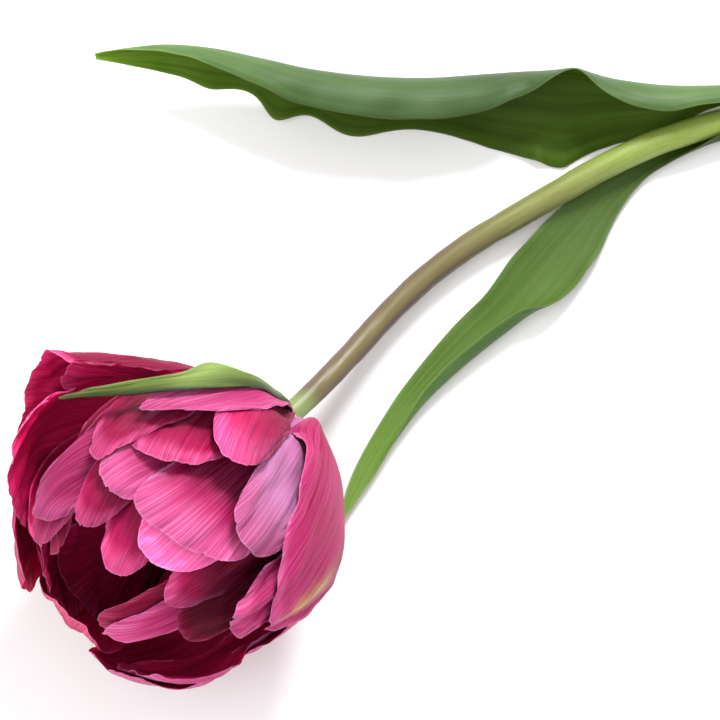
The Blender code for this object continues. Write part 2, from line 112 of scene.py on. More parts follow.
def catmull_weights(at: np.ndarray, last: int) -> tuple[np.ndarray, np.ndarray]:
    """The four neighbours and their Catmull-Rom weights.

    Args:
        at: places on a row whose values stand at 0, 1, ... last.
        last: the number of the last value.

    Returns:
        Neighbour numbers and weights, each with a last axis of four.
    """
    start = np.clip(np.floor(at).astype(int), 0, last - 1)
    t = at - start
    weights = np.stack([-t + 2 * t**2 - t**3, 2 - 5 * t**2 + 3 * t**3,
                        t + 4 * t**2 - 3 * t**3, -(t**2) + t**3], axis=-1) / 2
    return start[..., None] + np.arange(-1, 3), weights


def extended(values: np.ndarray, axis: int) -> np.ndarray:
    """Adds a value at each end, in line with the last two.

    Args:
        values: any array.
        axis: the axis that grows.

    Returns:
        The longer array.
    """
    first = 2 * values.take([0], axis) - values.take([1], axis)
    last = 2 * values.take([-1], axis) - values.take([-2], axis)
    return np.concatenate([first, values, last], axis)


def blended(values: list | np.ndarray, at: np.ndarray) -> np.ndarray:
    """Reads a smooth curve.

    Args:
        values: its row of values at each whole number.
        at: where to read it.

    Returns:
        A row for each place.
    """
    values = np.asarray(values, float)
    neighbours, weights = catmull_weights(at, len(values) - 1)
    padded = extended(values, 0)
    weights = weights.reshape(weights.shape + (1,) * (values.ndim - 1))
    return (padded[neighbours + 1] * weights).sum(axis=1)


def patch(net: np.ndarray, row: np.ndarray, column: np.ndarray) -> np.ndarray:
    """Points of the smooth sheet through a net.

    Args:
        net: rows by columns by 3.
        row, column: where to read it, in whole rows and columns from 0.

    Returns:
        One point for each place.
    """
    rows, row_weights = catmull_weights(row, net.shape[0] - 1)
    columns, column_weights = catmull_weights(column, net.shape[1] - 1)
    padded = extended(extended(net, 0), 1)
    points = np.zeros(row.shape + (3,))
    for i in range(4):
        for j in range(4):
            weight = row_weights[..., i] * column_weights[..., j]
            points += weight[..., None] * padded[rows[..., i] + 1, columns[..., j] + 1]
    return points


# ---- mesh writing
def points_of(mesh: bpy.types.Mesh) -> np.ndarray:
    """Reads a mesh.

    Args:
        mesh: the mesh.

    Returns:
        Its points, in metres.
    """
    flat = np.empty(len(mesh.vertices) * 3, np.float32)
    mesh.vertices.foreach_get("co", flat)
    return flat.reshape(-1, 3).astype(float)


def put_points(mesh: bpy.types.Mesh, points: np.ndarray, first: np.ndarray,
               second: np.ndarray) -> None:
    """Moves a mesh's points and fills its UV map.

    Args:
        mesh: the mesh.
        points: where its points go, in mm.
        first, second: the UV map's two numbers at each point.
    """
    mesh.vertices.foreach_set("co", (points * MM).astype(np.float32).ravel())
    corners = np.empty(len(mesh.loops), np.int32)
    mesh.loops.foreach_get("vertex_index", corners)
    pairs = np.stack([first, second], axis=1)[corners].astype(np.float32)
    mesh.uv_layers[0].name = "UVMap"
    mesh.uv_layers[0].uv.foreach_set("vector", pairs.ravel())


# ---- shader writing
def arithmetic(operation: str, reflected: bool = False) -> Callable[..., "Socket"]:
    """A method for an arithmetic sign on Sockets.

    Args:
        operation: the Math node's operation.
        reflected: whether the Socket stands to the right of the sign.

    Returns:
        The method.
    """
    def method(socket: "Socket", *other: "Socket | float") -> "Socket":
        """Adds the Math node."""
        values = (*other, socket) if reflected else (socket, *other)
        return socket.shader.math(operation, *values)

    return method


class Socket:
    """A node's output. Arithmetic on it adds Math nodes to the same material."""

    def __init__(self, shader: "Shader", output: bpy.types.NodeSocket) -> None:
        """Wraps one output of a node of this shader."""
        self.shader = shader
        self.output = output

    __add__, __radd__ = arithmetic("ADD"), arithmetic("ADD", True)
    __sub__, __rsub__ = arithmetic("SUBTRACT"), arithmetic("SUBTRACT", True)
    __mul__, __rmul__ = arithmetic("MULTIPLY"), arithmetic("MULTIPLY", True)
    __abs__ = arithmetic("ABSOLUTE")

    def step(self, low: "Socket | float", high: "Socket | float") -> "Socket":
        """0 at low, 1 at high, and an S-curve between them."""
        return self.shader.node("ShaderNodeMapRange", {"interpolation_type": "SMOOTHSTEP"},
                                {"Value": self, "From Min": low, "From Max": high})[0]


class Shader:
    """A new material with one Principled surface, and short ways to add nodes to it."""

    FACTOR, OBJECT = 2, 3       # outputs of the Attribute and Texture Coordinate nodes

    def __init__(self, name: str) -> None:
        """Makes the material.

        Args:
            name: the material's name.
        """
        self.material = bpy.data.materials.new(name)
        self.material.use_nodes = True
        self.tree = self.material.node_tree
        self.surface = next(n for n in self.tree.nodes if n.type == "BSDF_PRINCIPLED")

    def node(self, kind: str, settings: dict | None = None,
             values: dict | None = None) -> list[Socket]:
        """Adds a node.

        Args:
            kind: the node's type.
            settings: its properties, set first.
            values: numbers, colours or Sockets for its inputs, by name or number.

        Returns:
            The new node's outputs.
        """
        made = self.tree.nodes.new(kind)
        for key, value in (settings or {}).items():
            setattr(made, key, value)
        for key, value in (values or {}).items():
            self.put(made.inputs[key], value)
        return [Socket(self, output) for output in made.outputs]

    def put(self, target: bpy.types.NodeSocket, value: "Socket | float | tuple") -> None:
        """Fills an input.

        Args:
            target: the input.
            value: a Socket to link, or a constant.
        """
        if isinstance(value, Socket):
            self.tree.links.new(value.output, target)
        elif isinstance(value, tuple) and target.type == "RGBA":
            target.default_value = (*value[:3], 1.0)
        else:
            target.default_value = value

    def math(self, operation: str, *values: "Socket | float") -> Socket:
        """A Math node's result."""
        return self.node("ShaderNodeMath", {"operation": operation}, dict(enumerate(values)))[0]

    def mix(self, factor: "Socket | float", first: "Socket | Colour",
            second: "Socket | Colour", blend: str = "MIX") -> Socket:
        """A colour between two colours."""
        return self.node("ShaderNodeMix", {"data_type": "RGBA", "blend_type": blend},
                         {0: factor, 6: first, 7: second})[2]

    def shaded(self, colour: Socket, shade: Socket) -> Socket:
        """A colour times a number."""
        return self.mix(1.0, colour, self.vector(shade, shade, shade), "MULTIPLY")

    def vector(self, x: "Socket | float", y: "Socket | float", z: "Socket | float") -> Socket:
        """A vector from three numbers."""
        return self.node("ShaderNodeCombineXYZ", None, {0: x, 1: y, 2: z})[0]

    def noise(self, vector: Socket, scale: float = 1.0, detail: float = 2.0,
              rough: float = 0.5) -> Socket:
        """Noise of about 0.2 to 0.8 at a place."""
        return self.node("ShaderNodeTexNoise", None, {"Vector": vector, "Scale": scale,
                                                      "Detail": detail, "Roughness": rough})[0]

    def uv(self) -> list[Socket]:
        """The two numbers of the piece's own UV map."""
        place = self.node("ShaderNodeUVMap", {"uv_map": "UVMap"})[0]
        return self.node("ShaderNodeSeparateXYZ", None, {0: place})[:2]

    def place(self) -> Socket:
        """Object coordinates, in metres."""
        return self.node("ShaderNodeTexCoord")[self.OBJECT]

    def attribute(self, name: str) -> Socket:
        """A number kept on the mesh's points."""
        return self.node("ShaderNodeAttribute", {"attribute_name": name})[self.FACTOR]

    def set(self, **constants: float | tuple) -> None:
        """Sets the Principled surface.

        Args:
            **constants: its inputs' values, named with _ for a space.
        """
        names = {key.lower().replace(" ", "_"): key for key in self.surface.inputs.keys()}
        for key, value in constants.items():
            self.put(self.surface.inputs[names[key]], value)

    def layered(self, base: "Socket | Colour", *layers: tuple[Socket, Colour]) -> Socket:
        """Lays colours over one another.

        Args:
            base: the lowest colour.
            *layers: the others from the lowest up, each as its mask and the colour.

        Returns:
            What shows on top.
        """
        for mask, colour in layers:
            base = self.mix(mask, base, colour)
        return base

    def dressed(self, colour: Socket, rough: Socket, height: Socket, strength: float,
                distance: float, **constants: float | tuple) -> bpy.types.Material:
        """Connects what varies over the surface, and sets the rest.

        Args:
            colour, rough: for Base Color and Roughness.
            height, strength, distance: for the Bump node behind Normal.
            **constants: as set takes them.

        Returns:
            The finished material.
        """
        raised = self.node("ShaderNodeBump", None, {"Strength": strength, "Distance": distance,
                                                    "Height": height})[0]
        self.set(base_color=colour, roughness=rough, normal=raised, **constants)
        return self.material


# ---- finishes
@dataclass(frozen=True)
class PetalFinish:
    """One face of a petal: its colours from the claw out, its streaks and its pale margin."""

    name: str
    claw: Colour
    blush: Colour
    pale: Colour
    rim: Colour
    pale_mm: float = 11.0
    deep_mm: float = 26.0
    pale_share: float = 0.9
    streak_share: float = 0.25
    rough: float = 0.5
    STAIN: ClassVar[Colour] = (0.50, 0.46, 0.10)
    LINES: ClassVar[float] = 76.0    # veins to one step of the UV map's first number
    HAIRS: ClassVar[float] = 112.0   # finer ones
    BANDS: ClassVar[float] = 15.0    # broader ones
    CLOUDS: ClassVar[float] = 60.0   # soft patches to a metre

    def material(self) -> bpy.types.Material:
        """Builds the finish.

        Returns:
            The material, which reads the UV map and the margin, edge, tone and stain attributes.
        """
        shader = Shader(self.name)
        vein, along = shader.uv()
        margin, edge = shader.attribute("margin"), shader.attribute("edge")
        tone = shader.attribute("tone")
        lines = shader.noise(shader.vector(vein * self.LINES, along * 2.2, 0.3), rough=0.7)
        hairs = shader.noise(shader.vector(vein * self.HAIRS, along * 1.8, 7.7), detail=1.0)
        bands = shader.noise(shader.vector(vein * self.BANDS, along * 1.3, 4.1))
        cloud = shader.noise(shader.place(), self.CLOUDS)
        streak = (lines * 0.75 + bands * 0.25).step(0.38, 0.62)
        ragged = edge + (lines * 1.3 + bands * 0.5 - 0.9) * (self.pale_mm * 0.7)
        near = 1.0 - ragged.step(0.35 * self.pale_mm, 1.35 * self.pale_mm)
        fringe = 1.0 - (margin + (lines - 0.5) * 1.4).step(0.0, 0.8)
        flame = shader.attribute("stain") * (lines * 0.5 + cloud * 0.5).step(0.3, 0.5)
        # Far in from the margin the colour turns to the claw's: partly the petal's own deep colour,
        # partly painted shade where it lies under other petals.
        colour = shader.layered(
            self.blush, (ragged.step(self.pale_mm, self.deep_mm), self.claw),
            (streak * self.streak_share, self.pale),
            (near * self.pale_share * (0.72 + 0.28 * streak), self.pale),
            (hairs.step(0.5, 0.64) * (0.04 + 0.34 * near), self.rim),
            (fringe * 0.5, self.rim), (flame, self.STAIN))
        # The shade number multiplies the colour: random patches and streaks, and the tone attribute
        # with its painted light and shade.
        shade = (cloud - 0.5) * 0.5 + (lines - 0.5) * 0.7 + (hairs - 0.5) * 0.5 + tone + 1.0
        height = lines * 0.7 + bands * 0.3 + hairs * 0.4
        return shader.dressed(shader.shaded(colour, shade), self.rough + (streak - 0.5) * 0.16,
                              height, 0.6, 0.0004, subsurface_weight=0.14,
                              subsurface_radius=(1.0, 0.12, 0.25), subsurface_scale=0.0008,
                              specular_ior_level=0.1)


@dataclass(frozen=True)
class LeafFinish:
    """One face of a leaf: greens across its width, fine lengthwise veins and a waxy bloom."""

    name: str
    flesh: Colour
    pale: Colour
    bloom: Colour
    rim: Colour
    bloom_share: float = 0.4
    rough: float = 0.45
    shine: float = 0.2
    VEINS: ClassVar[float] = 120.0
    RIBS: ClassVar[float] = 14.0
    CLOUDS: ClassVar[float] = 30.0

    def material(self) -> bpy.types.Material:
        """Builds the finish.

        Returns:
            The material, which reads the piece's UV map and its margin and tone attributes.
        """
        shader = Shader(self.name)
        across, along = shader.uv()
        margin = shader.attribute("margin")
        fine = shader.noise(shader.vector(across * self.VEINS, along * 5.0, 0.7), rough=0.6)
        broad = shader.noise(shader.vector(across * self.RIBS, along * 2.5, 2.2))
        cloud = shader.noise(shader.place(), self.CLOUDS, detail=3.0)
        # The lighter rim along the margin is partly the leaf's own edge colour, partly a painted
        # highlight.
        colour = shader.layered(
            self.flesh, (broad.step(0.3, 0.7), self.pale), (fine.step(0.4, 0.66) * 0.3, self.pale),
            (cloud.step(0.34, 0.68) * self.bloom_share, self.bloom),
            ((1.0 - margin.step(0.15, 0.6)) * 0.6, self.rim))
        # The tone attribute holds lighter and darker greens along the leaf, with painted shade.
        shade = shader.attribute("tone") + 1.0
        return shader.dressed(shader.shaded(colour, shade), self.rough + (fine - 0.5) * 0.2,
                              fine * 0.5 + broad * 0.8, 0.5, 0.00035, subsurface_weight=0.1,
                              subsurface_radius=(0.5, 1.0, 0.15), subsurface_scale=0.0008,
                              specular_ior_level=self.shine)


@dataclass(frozen=True)
class StalkFinish:
    """The stalk's skin: pale green under the blossom, then purplish brown, then yellow-green; the
    olive strip along its top is partly a painted highlight.
    """

    name: str = "stalk skin"
    neck: Colour = (0.216, 0.288, 0.094)
    flushed: Colour = (0.119, 0.068, 0.058)
    olive: Colour = (0.146, 0.116, 0.041)
    green: Colour = (0.245, 0.346, 0.054)
    STREAKS: ClassVar[tuple[float, float]] = (16.0, 9.0)    # round the stalk and along it
    PORES: ClassVar[tuple[float, float]] = (90.0, 60.0)

    def material(self) -> bpy.types.Material:
        """Builds the finish.

        Returns:
            The material. The UV map's first number runs round the stalk, its second along it.
        """
        shader = Shader(self.name)
        around, along = shader.uv()
        wide, long = self.STREAKS
        streaks = shader.noise(shader.vector(around * wide, along * long, 0.5), detail=3.0)
        wide, long = self.PORES
        fine = shader.noise(shader.vector(around * wide, along * long, 3.1))
        # The sides turn purplish brown and the top stays olive: the lighter top strip is partly a
        # painted highlight.
        above = (abs(around - 0.25) + (streaks - 0.5) * 0.16).step(0.04, 0.17)
        greener = (along + (streaks - 0.5) * 0.3).step(0.22, 0.62)
        past_neck = (along + (streaks - 0.5) * 0.015).step(0.012, 0.05)
        colour = shader.layered(
            self.olive, (above, self.flushed), (greener, self.green),
            (1.0 - past_neck, self.neck), (fine.step(0.4, 0.7) * 0.25, self.olive))
        return shader.dressed(colour, 0.42 + (fine - 0.5) * 0.2,
                              streaks * 0.7 + fine * 0.5, 0.4, 0.0003, subsurface_weight=0.1,
                              subsurface_radius=(0.8, 0.8, 0.2), subsurface_scale=0.001)


@dataclass(frozen=True)
class GrainFinish:
    """A mottled matt surface, for the heart of the flower."""

    name: str
    flesh: Colour
    speckle: Colour
    scale: float = 900.0
    rough: float = 0.6

    def material(self) -> bpy.types.Material:
        """Builds the finish.

        Returns:
            The material, which reads Object coordinates.
        """
        shader = Shader(self.name)
        grain = shader.noise(shader.place(), self.scale, detail=3.0)
        cloud = shader.noise(shader.place(), self.scale * 0.15)
        speckled = (grain * 0.6 + cloud * 0.4).step(0.38, 0.62)
        colour = shader.mix(speckled, self.flesh, self.speckle)
        return shader.dressed(colour, self.rough + (grain - 0.5) * 0.2, grain, 0.5, 0.0003)


class Tone(Enum):
    """The kinds of petal face."""

    ROSE = PetalFinish("rose petal", (0.144, 0.0007, 0.023), (0.324, 0.0043, 0.071),
                       (0.590, 0.090, 0.266), (0.634, 0.230, 0.432), 13.0, 24.0, 0.95, 0.15)
    CRIMSON = PetalFinish("crimson petal", (0.144, 0.0007, 0.019), (0.288, 0.0022, 0.050),
                          (0.533, 0.050, 0.184), (0.605, 0.173, 0.346), 6.0, 20.0, 0.85, 0.14)
    MAUVE = PetalFinish("mauve petal", (0.518, 0.144, 0.346), (0.576, 0.216, 0.446),
                        (0.490, 0.050, 0.187), (0.605, 0.288, 0.490), 6.0, 24.0, 0.85, 0.1)
    FUCHSIA = PetalFinish("fuchsia petal", (0.230, 0.0022, 0.043), (0.360, 0.012, 0.097),
                          (0.547, 0.072, 0.230), (0.619, 0.230, 0.418), 9.0, 36.0, 0.8, 0.45)
    WINE = PetalFinish("wine petal", (0.094, 0.0007, 0.011), (0.209, 0.0022, 0.032),
                       (0.346, 0.020, 0.086), (0.490, 0.108, 0.230), 5.0, 20.0, 0.6, 0.2)
    INSIDE = PetalFinish("petal inside", (0.065, 0.0004, 0.0058), (0.187, 0.0014, 0.024),
                         (0.331, 0.010, 0.065), (0.446, 0.058, 0.158), 5.0, 24.0, 0.6, 0.25, 0.46)
    # A lighter copy of the inside finish: painted light, for inner faces that lie in shade.
    GLOW = PetalFinish("petal inside, painted light", (0.28, 0.002, 0.034), (0.42, 0.0035, 0.062),
                       (0.54, 0.022, 0.125), (0.60, 0.10, 0.25), 6.0, 30.0, 0.6, 0.25, 0.46)


class Greens(Enum):
    """The kinds of leaf face."""

    OUTSIDE = LeafFinish("leaf outside", (0.037, 0.083, 0.017), (0.060, 0.122, 0.026),
                         (0.094, 0.167, 0.056), (0.122, 0.180, 0.043), 0.6, 0.46)
    INSIDE = LeafFinish("leaf inside", (0.038, 0.08, 0.003), (0.068, 0.134, 0.009),
                        (0.095, 0.17, 0.018), (0.12, 0.19, 0.03), 0.35, 0.42, 0.07)
    FRESH = LeafFinish("leaf inside, fresh", (0.068, 0.133, 0.019), (0.094, 0.169, 0.029),
                       (0.115, 0.187, 0.050), (0.144, 0.209, 0.065), 0.4, 0.42)
    BRACT = LeafFinish("bract outside", (0.108, 0.180, 0.043), (0.202, 0.295, 0.065),
                       (0.302, 0.403, 0.079), (0.331, 0.389, 0.115), 0.6, 0.42)


class Wardrobe:
    """Every finish, made once and handed out by kind."""

    def __init__(self) -> None:
        """Starts with nothing made."""
        self.made: dict[str, bpy.types.Material] = {}

    def get(self, finish: Tone | Greens | StalkFinish | GrainFinish) -> bpy.types.Material:
        """A finish's material, built the first time it is asked for.

        Args:
            finish: the finish.

        Returns:
            Its material.
        """
        kind = finish.value if isinstance(finish, Enum) else finish
        if kind.name not in self.made:
            self.made[kind.name] = kind.material()
        return self.made[kind.name]


# ---- blossom's frame
@dataclass(frozen=True)
class Receptacle:
    """The swollen top of the stalk, as its solid has it, which fixes where the blossom is."""

    node: str = "receptacle"
    outline: tuple[tuple[float, float], ...] = (    # height, radius
        (0.35, 3.1), (0.96, 5.77), (1.6, 5.77), (14.0, 4.16), (15.0, 3.03))

    def seat(self, axis: np.ndarray) -> np.ndarray:
        """Where the outline's height 0 lies, in mm, read from the solid's box.

        Args:
            axis: the direction of the receptacle's height.

        Returns:
            A point on the axis.
        """
        low, high = (np.array(corner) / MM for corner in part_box(self.node))
        height, radius = np.array(self.outline).T
        sideways = np.sqrt(1 - axis**2)
        most = (height[:, None] * axis + radius[:, None] * sideways).max(axis=0)
        least = (height[:, None] * axis - radius[:, None] * sideways).min(axis=0)
        return (low + high) / 2 - (most + least) / 2


@dataclass(frozen=True)
class BlossomFrame:
    """The blossom's centre and directions, in mm in the part's own frame."""

    centre: np.ndarray
    axis: np.ndarray
    skyward: np.ndarray
    leafward: np.ndarray
    stalk_reach: float = 46.0
    AXIS: ClassVar[Triple] = (-0.617, -0.665, 0.421)
    SKYWARD: ClassVar[Triple] = (0.385, 0.211, 0.898)
    DRAWN_CENTRE: ClassVar[Triple] = (-47.9, -41.5, 41.0)

    @classmethod
    def from_solids(cls) -> "BlossomFrame":
        """Reads the blossom's place from the receptacle.

        Returns:
            The frame.
        """
        axis = unit(cls.AXIS)
        skyward = np.array(cls.SKYWARD)
        skyward = unit(skyward - (skyward @ axis) * axis)
        stalk_top = Receptacle().seat(axis)
        return cls(stalk_top + cls.stalk_reach * axis, axis, skyward, np.cross(axis, skyward))

    @property
    def stalk_top(self) -> np.ndarray:
        """The point where the stalk ends under the petals."""
        return self.centre - self.stalk_reach * self.axis

    @property
    def shift(self) -> np.ndarray:
        """From the drawing's numbers, whose blossom centre is fixed, to the part's frame."""
        return self.centre - np.array(self.DRAWN_CENTRE)

    def place(self, colatitude: np.ndarray, azimuth: np.ndarray, reach: np.ndarray) -> np.ndarray:
        """Points from the blossom's own coordinates.

        Args:
            colatitude, azimuth: in degrees.
            reach: in mm.

        Returns:
            The points, in mm.
        """
        colatitude, azimuth = np.radians(colatitude)[..., None], np.radians(azimuth)[..., None]
        round_axis = np.cos(azimuth) * self.skyward + np.sin(azimuth) * self.leafward
        direction = np.sin(colatitude) * round_axis - np.cos(colatitude) * self.axis
        return self.centre + np.asarray(reach)[..., None] * direction


# ---- petals
@dataclass(frozen=True)
class PetalForm:
    """One petal: where its midrib runs, how wide, blunt, rolled and cupped it is, and its margin.

    Its sides are named by azimuth: the lower side lies towards smaller azimuths.
    """

    name: str
    root: float                 # azimuth of its claw
    belly: Triple               # colatitude, azimuth, reach half way along
    tip: Triple                 # colatitude, azimuth, reach at the end
    half_width: tuple[float, float]  # mm at the belly and towards the tip
    shoulder: float = 0.62      # share of the length where a side turns into the tip
    blunt: float = 2.4          # 1 pointed, 2 round, 4 square
    skew: float = 0.0           # lengthens the lower side, shortens the other
    roll: tuple[float, float] = (0.0, 0.0)   # degrees at the belly and the tip, lower side inwards
    cup: tuple[float, float] = (1.0, 1.0)    # 1 follows the ball, more is a tighter cup, 0 flat
    hem: tuple[float, float] = (0.0, 0.0)    # degrees that the lower and upper margins roll inwards
    neck: float = 0.0           # share of the length before it opens
    opening: float = 0.5        # share of the length where it reaches its full width
    taper: float = 2.0          # below 2 it narrows soon after the belly, above 2 only near the tip
    claw: float = 3.2           # half the width of its claw
    waist: float = 4.5          # mm that it draws in just above the stalk
    dip: float = 0.0            # mm that it lies deeper until its end rises
    rise: float = 0.62          # share of the length where its end starts to rise
    ruffle: float = 0.6         # mm that its folds stand up near the margin
    notch: float = 1.2          # mm that the deepest nicks cut into its margin
    outer: Tone = Tone.WINE
    inner: Tone = Tone.INSIDE
    tone: float = 0.0           # lighter or darker than its finish: its own colour with painted light and shade
    flush: float = 0.0          # painted shade: how much darker its lower side is than the other
    bloom: float = 1.0          # how far its pale end reaches in, against its finish
    stain: float = 0.0          # a yellow-green flame along its midrib, towards the tip
    lobe: float = 0.0           # mm that its upper side bulges at the belly; lighter there, partly painted highlight

    @property
    def seed(self) -> int:
        """A number of the petal's own, from its name."""
        return sum(ord(letter) * (place + 3) for place, letter in enumerate(self.name))


class PetalSheet:
    """The middle surface of one petal, before it is laid among its neighbours."""

    COLUMNS = 20
    ROWS = 26
    CLAW_DEPTH = 1.6                # mm that a claw starts below the stalk's end
    CLAW_GAP = 0.45                 # mm between the claw's middle and the receptacle
    RECEPTACLE_SLOPE = 7.4          # degrees
    WAIST_AT, WAIST_SPREAD = 36.0, 17.0     # degrees of colatitude
    LOBE_BREADTH = 0.08             # share of the length
    HEM_START = 0.5                 # share of the half width where a hem starts to roll
    ARC_PIECES = 24

    def __init__(self, form: PetalForm, blossom: BlossomFrame) -> None:
        """Takes the petal's form and the blossom that it grows in."""
        self.form = form
        self.blossom = blossom

    def midrib(self, along: np.ndarray) -> np.ndarray:
        """The middle line.

        Args:
            along: from 0 at the claw to 1 at the tip.

        Returns:
            Its points.
        """
        form = self.form
        root_reach = self.blossom.stalk_reach - self.CLAW_DEPTH
        side_gap = math.degrees(self.CLAW_GAP / root_reach)
        root_colatitude = self.RECEPTACLE_SLOPE + side_gap
        colatitude = through(root_colatitude, form.belly[0], form.tip[0], along)
        azimuth = through(form.root, form.belly[1], form.tip[1], along)
        reach = through(root_reach, form.belly[2], form.tip[2], along)
        from_waist = (colatitude - self.WAIST_AT) / self.WAIST_SPREAD
        reach = reach - form.waist * np.exp(-(from_waist**2))
        reach = reach - form.dip * smooth(0.05, 0.5, along) * (1 - smooth(form.rise, 0.99, along))
        return self.blossom.place(colatitude, azimuth, reach)

    def width_along(self, along: np.ndarray) -> np.ndarray:
        """A narrow claw opens to the belly, then draws in to the tip.

        Args:
            along: from 0 to 1.

        Returns:
            Half the width, in mm.
        """
        belly_width, tip_width = self.form.half_width
        neck = self.form.neck
        opening = np.clip((along - neck) / (self.form.opening - neck), 0, 1)
        closing = np.clip(along / 0.5 - 1, 0, 1.2)
        claw_width = self.form.claw
        opened = claw_width + (belly_width - claw_width) * opening**2 * (3 - 2 * opening)
        return opened + (tip_width - belly_width) * closing**self.form.taper

    def tip_line(self, across: np.ndarray) -> np.ndarray:
        """How far along the petal its end margin lies.

        Args:
            across: from -1 to 1 at the lower side.

        Returns:
            Shares of the length.
        """
        form = self.form
        arch = (1 - np.abs(across) ** form.blunt) ** (1 / form.blunt)
        return form.shoulder + (1 - form.shoulder) * arch + form.skew * across

    def net(self) -> np.ndarray:
        """A net of points on the middle surface.

        Returns:
            Rows from the claw to the tip.
        """
        form = self.form
        steps = np.linspace(-1, 1, self.COLUMNS + 1)
        across = np.sin(steps * math.pi / 2)
        along = np.linspace(0, 1, self.ROWS + 1)[:, None] * self.tip_line(across)[None, :]
        spread = np.broadcast_to(across[None, :], along.shape)
        point, ahead = self.midrib(along), self.midrib(along + 0.01)
        tangent = units(ahead - point)
        inward = self.blossom.centre - point
        side = units(np.cross(tangent, inward))
        inward = np.cross(side, tangent)
        roll = np.radians(through(0.0, form.roll[0], form.roll[1], along))[..., None]
        side, inward = (np.cos(roll) * side + np.sin(roll) * inward,
                        np.cos(roll) * inward - np.sin(roll) * side)
        bulge = np.exp(-(((along - form.opening) / self.LOBE_BREADTH) ** 2))
        bulge = bulge * np.clip(-spread, 0, 1)
        half_width = self.width_along(along) + form.lobe * bulge
        cup = through(1.0, form.cup[0], form.cup[1], along)
        net = point + self.cross_section(spread, half_width, cup / form.belly[2], side, inward)
        return net - self.folds(spread, along)[..., None] * inward

    def cross_section(self, spread: np.ndarray, half_width: np.ndarray, bend: np.ndarray,
                      side: np.ndarray, inward: np.ndarray) -> np.ndarray:
        """The way from the midrib out to each point, along an arc that ends in a rolled hem.

        Args:
            spread: each point's place across, from -1 to 1 at the lower side.
            half_width: in mm.
            bend: the arc's curvature, in radians a mm.
            side, inward: the directions of the petal's width and of the blossom's centre.

        Returns:
            The offsets, in mm.
        """
        hem = np.where(spread > 0, self.form.hem[0], self.form.hem[1])
        offset = np.zeros(spread.shape + (3,))
        for piece in range(self.ARC_PIECES):
            share = (piece + 0.5) / self.ARC_PIECES * np.abs(spread)
            in_hem = np.clip((share - self.HEM_START) / (1 - self.HEM_START), 0, 1)
            turn = bend * share * half_width
            turn = turn + np.radians(hem) * in_hem**1.3
            step = half_width * np.abs(spread) / self.ARC_PIECES
            outward = np.sign(spread)[..., None] * np.cos(turn)[..., None] * side
            offset += step[..., None] * (outward + np.sin(turn)[..., None] * inward)
        return offset

    def folds(self, spread: np.ndarray, along: np.ndarray) -> np.ndarray:
        """Soft folds along the veins.

        Args:
            spread, along: each point's place.

        Returns:
            How far it stands out from the plain sheet, in mm.
        """
        seed = self.form.seed
        towards_edge = np.maximum(np.abs(spread) ** 2.5, smooth(0.35, 0.95, along))
        fold = wander(spread * 0.5 + 0.1 * wander(along, seed + 2, 1.2), seed, 3.0)
        ripple = wander(along * 0.8 + np.abs(spread) * 0.1, seed + 1, 3.1) * np.abs(spread) ** 3
        swell = wander(along * 0.7 + spread * 0.35, seed + 3, 1.3, 2)
        return self.form.ruffle * (towards_edge * fold + 0.9 * ripple + 0.7 * swell)


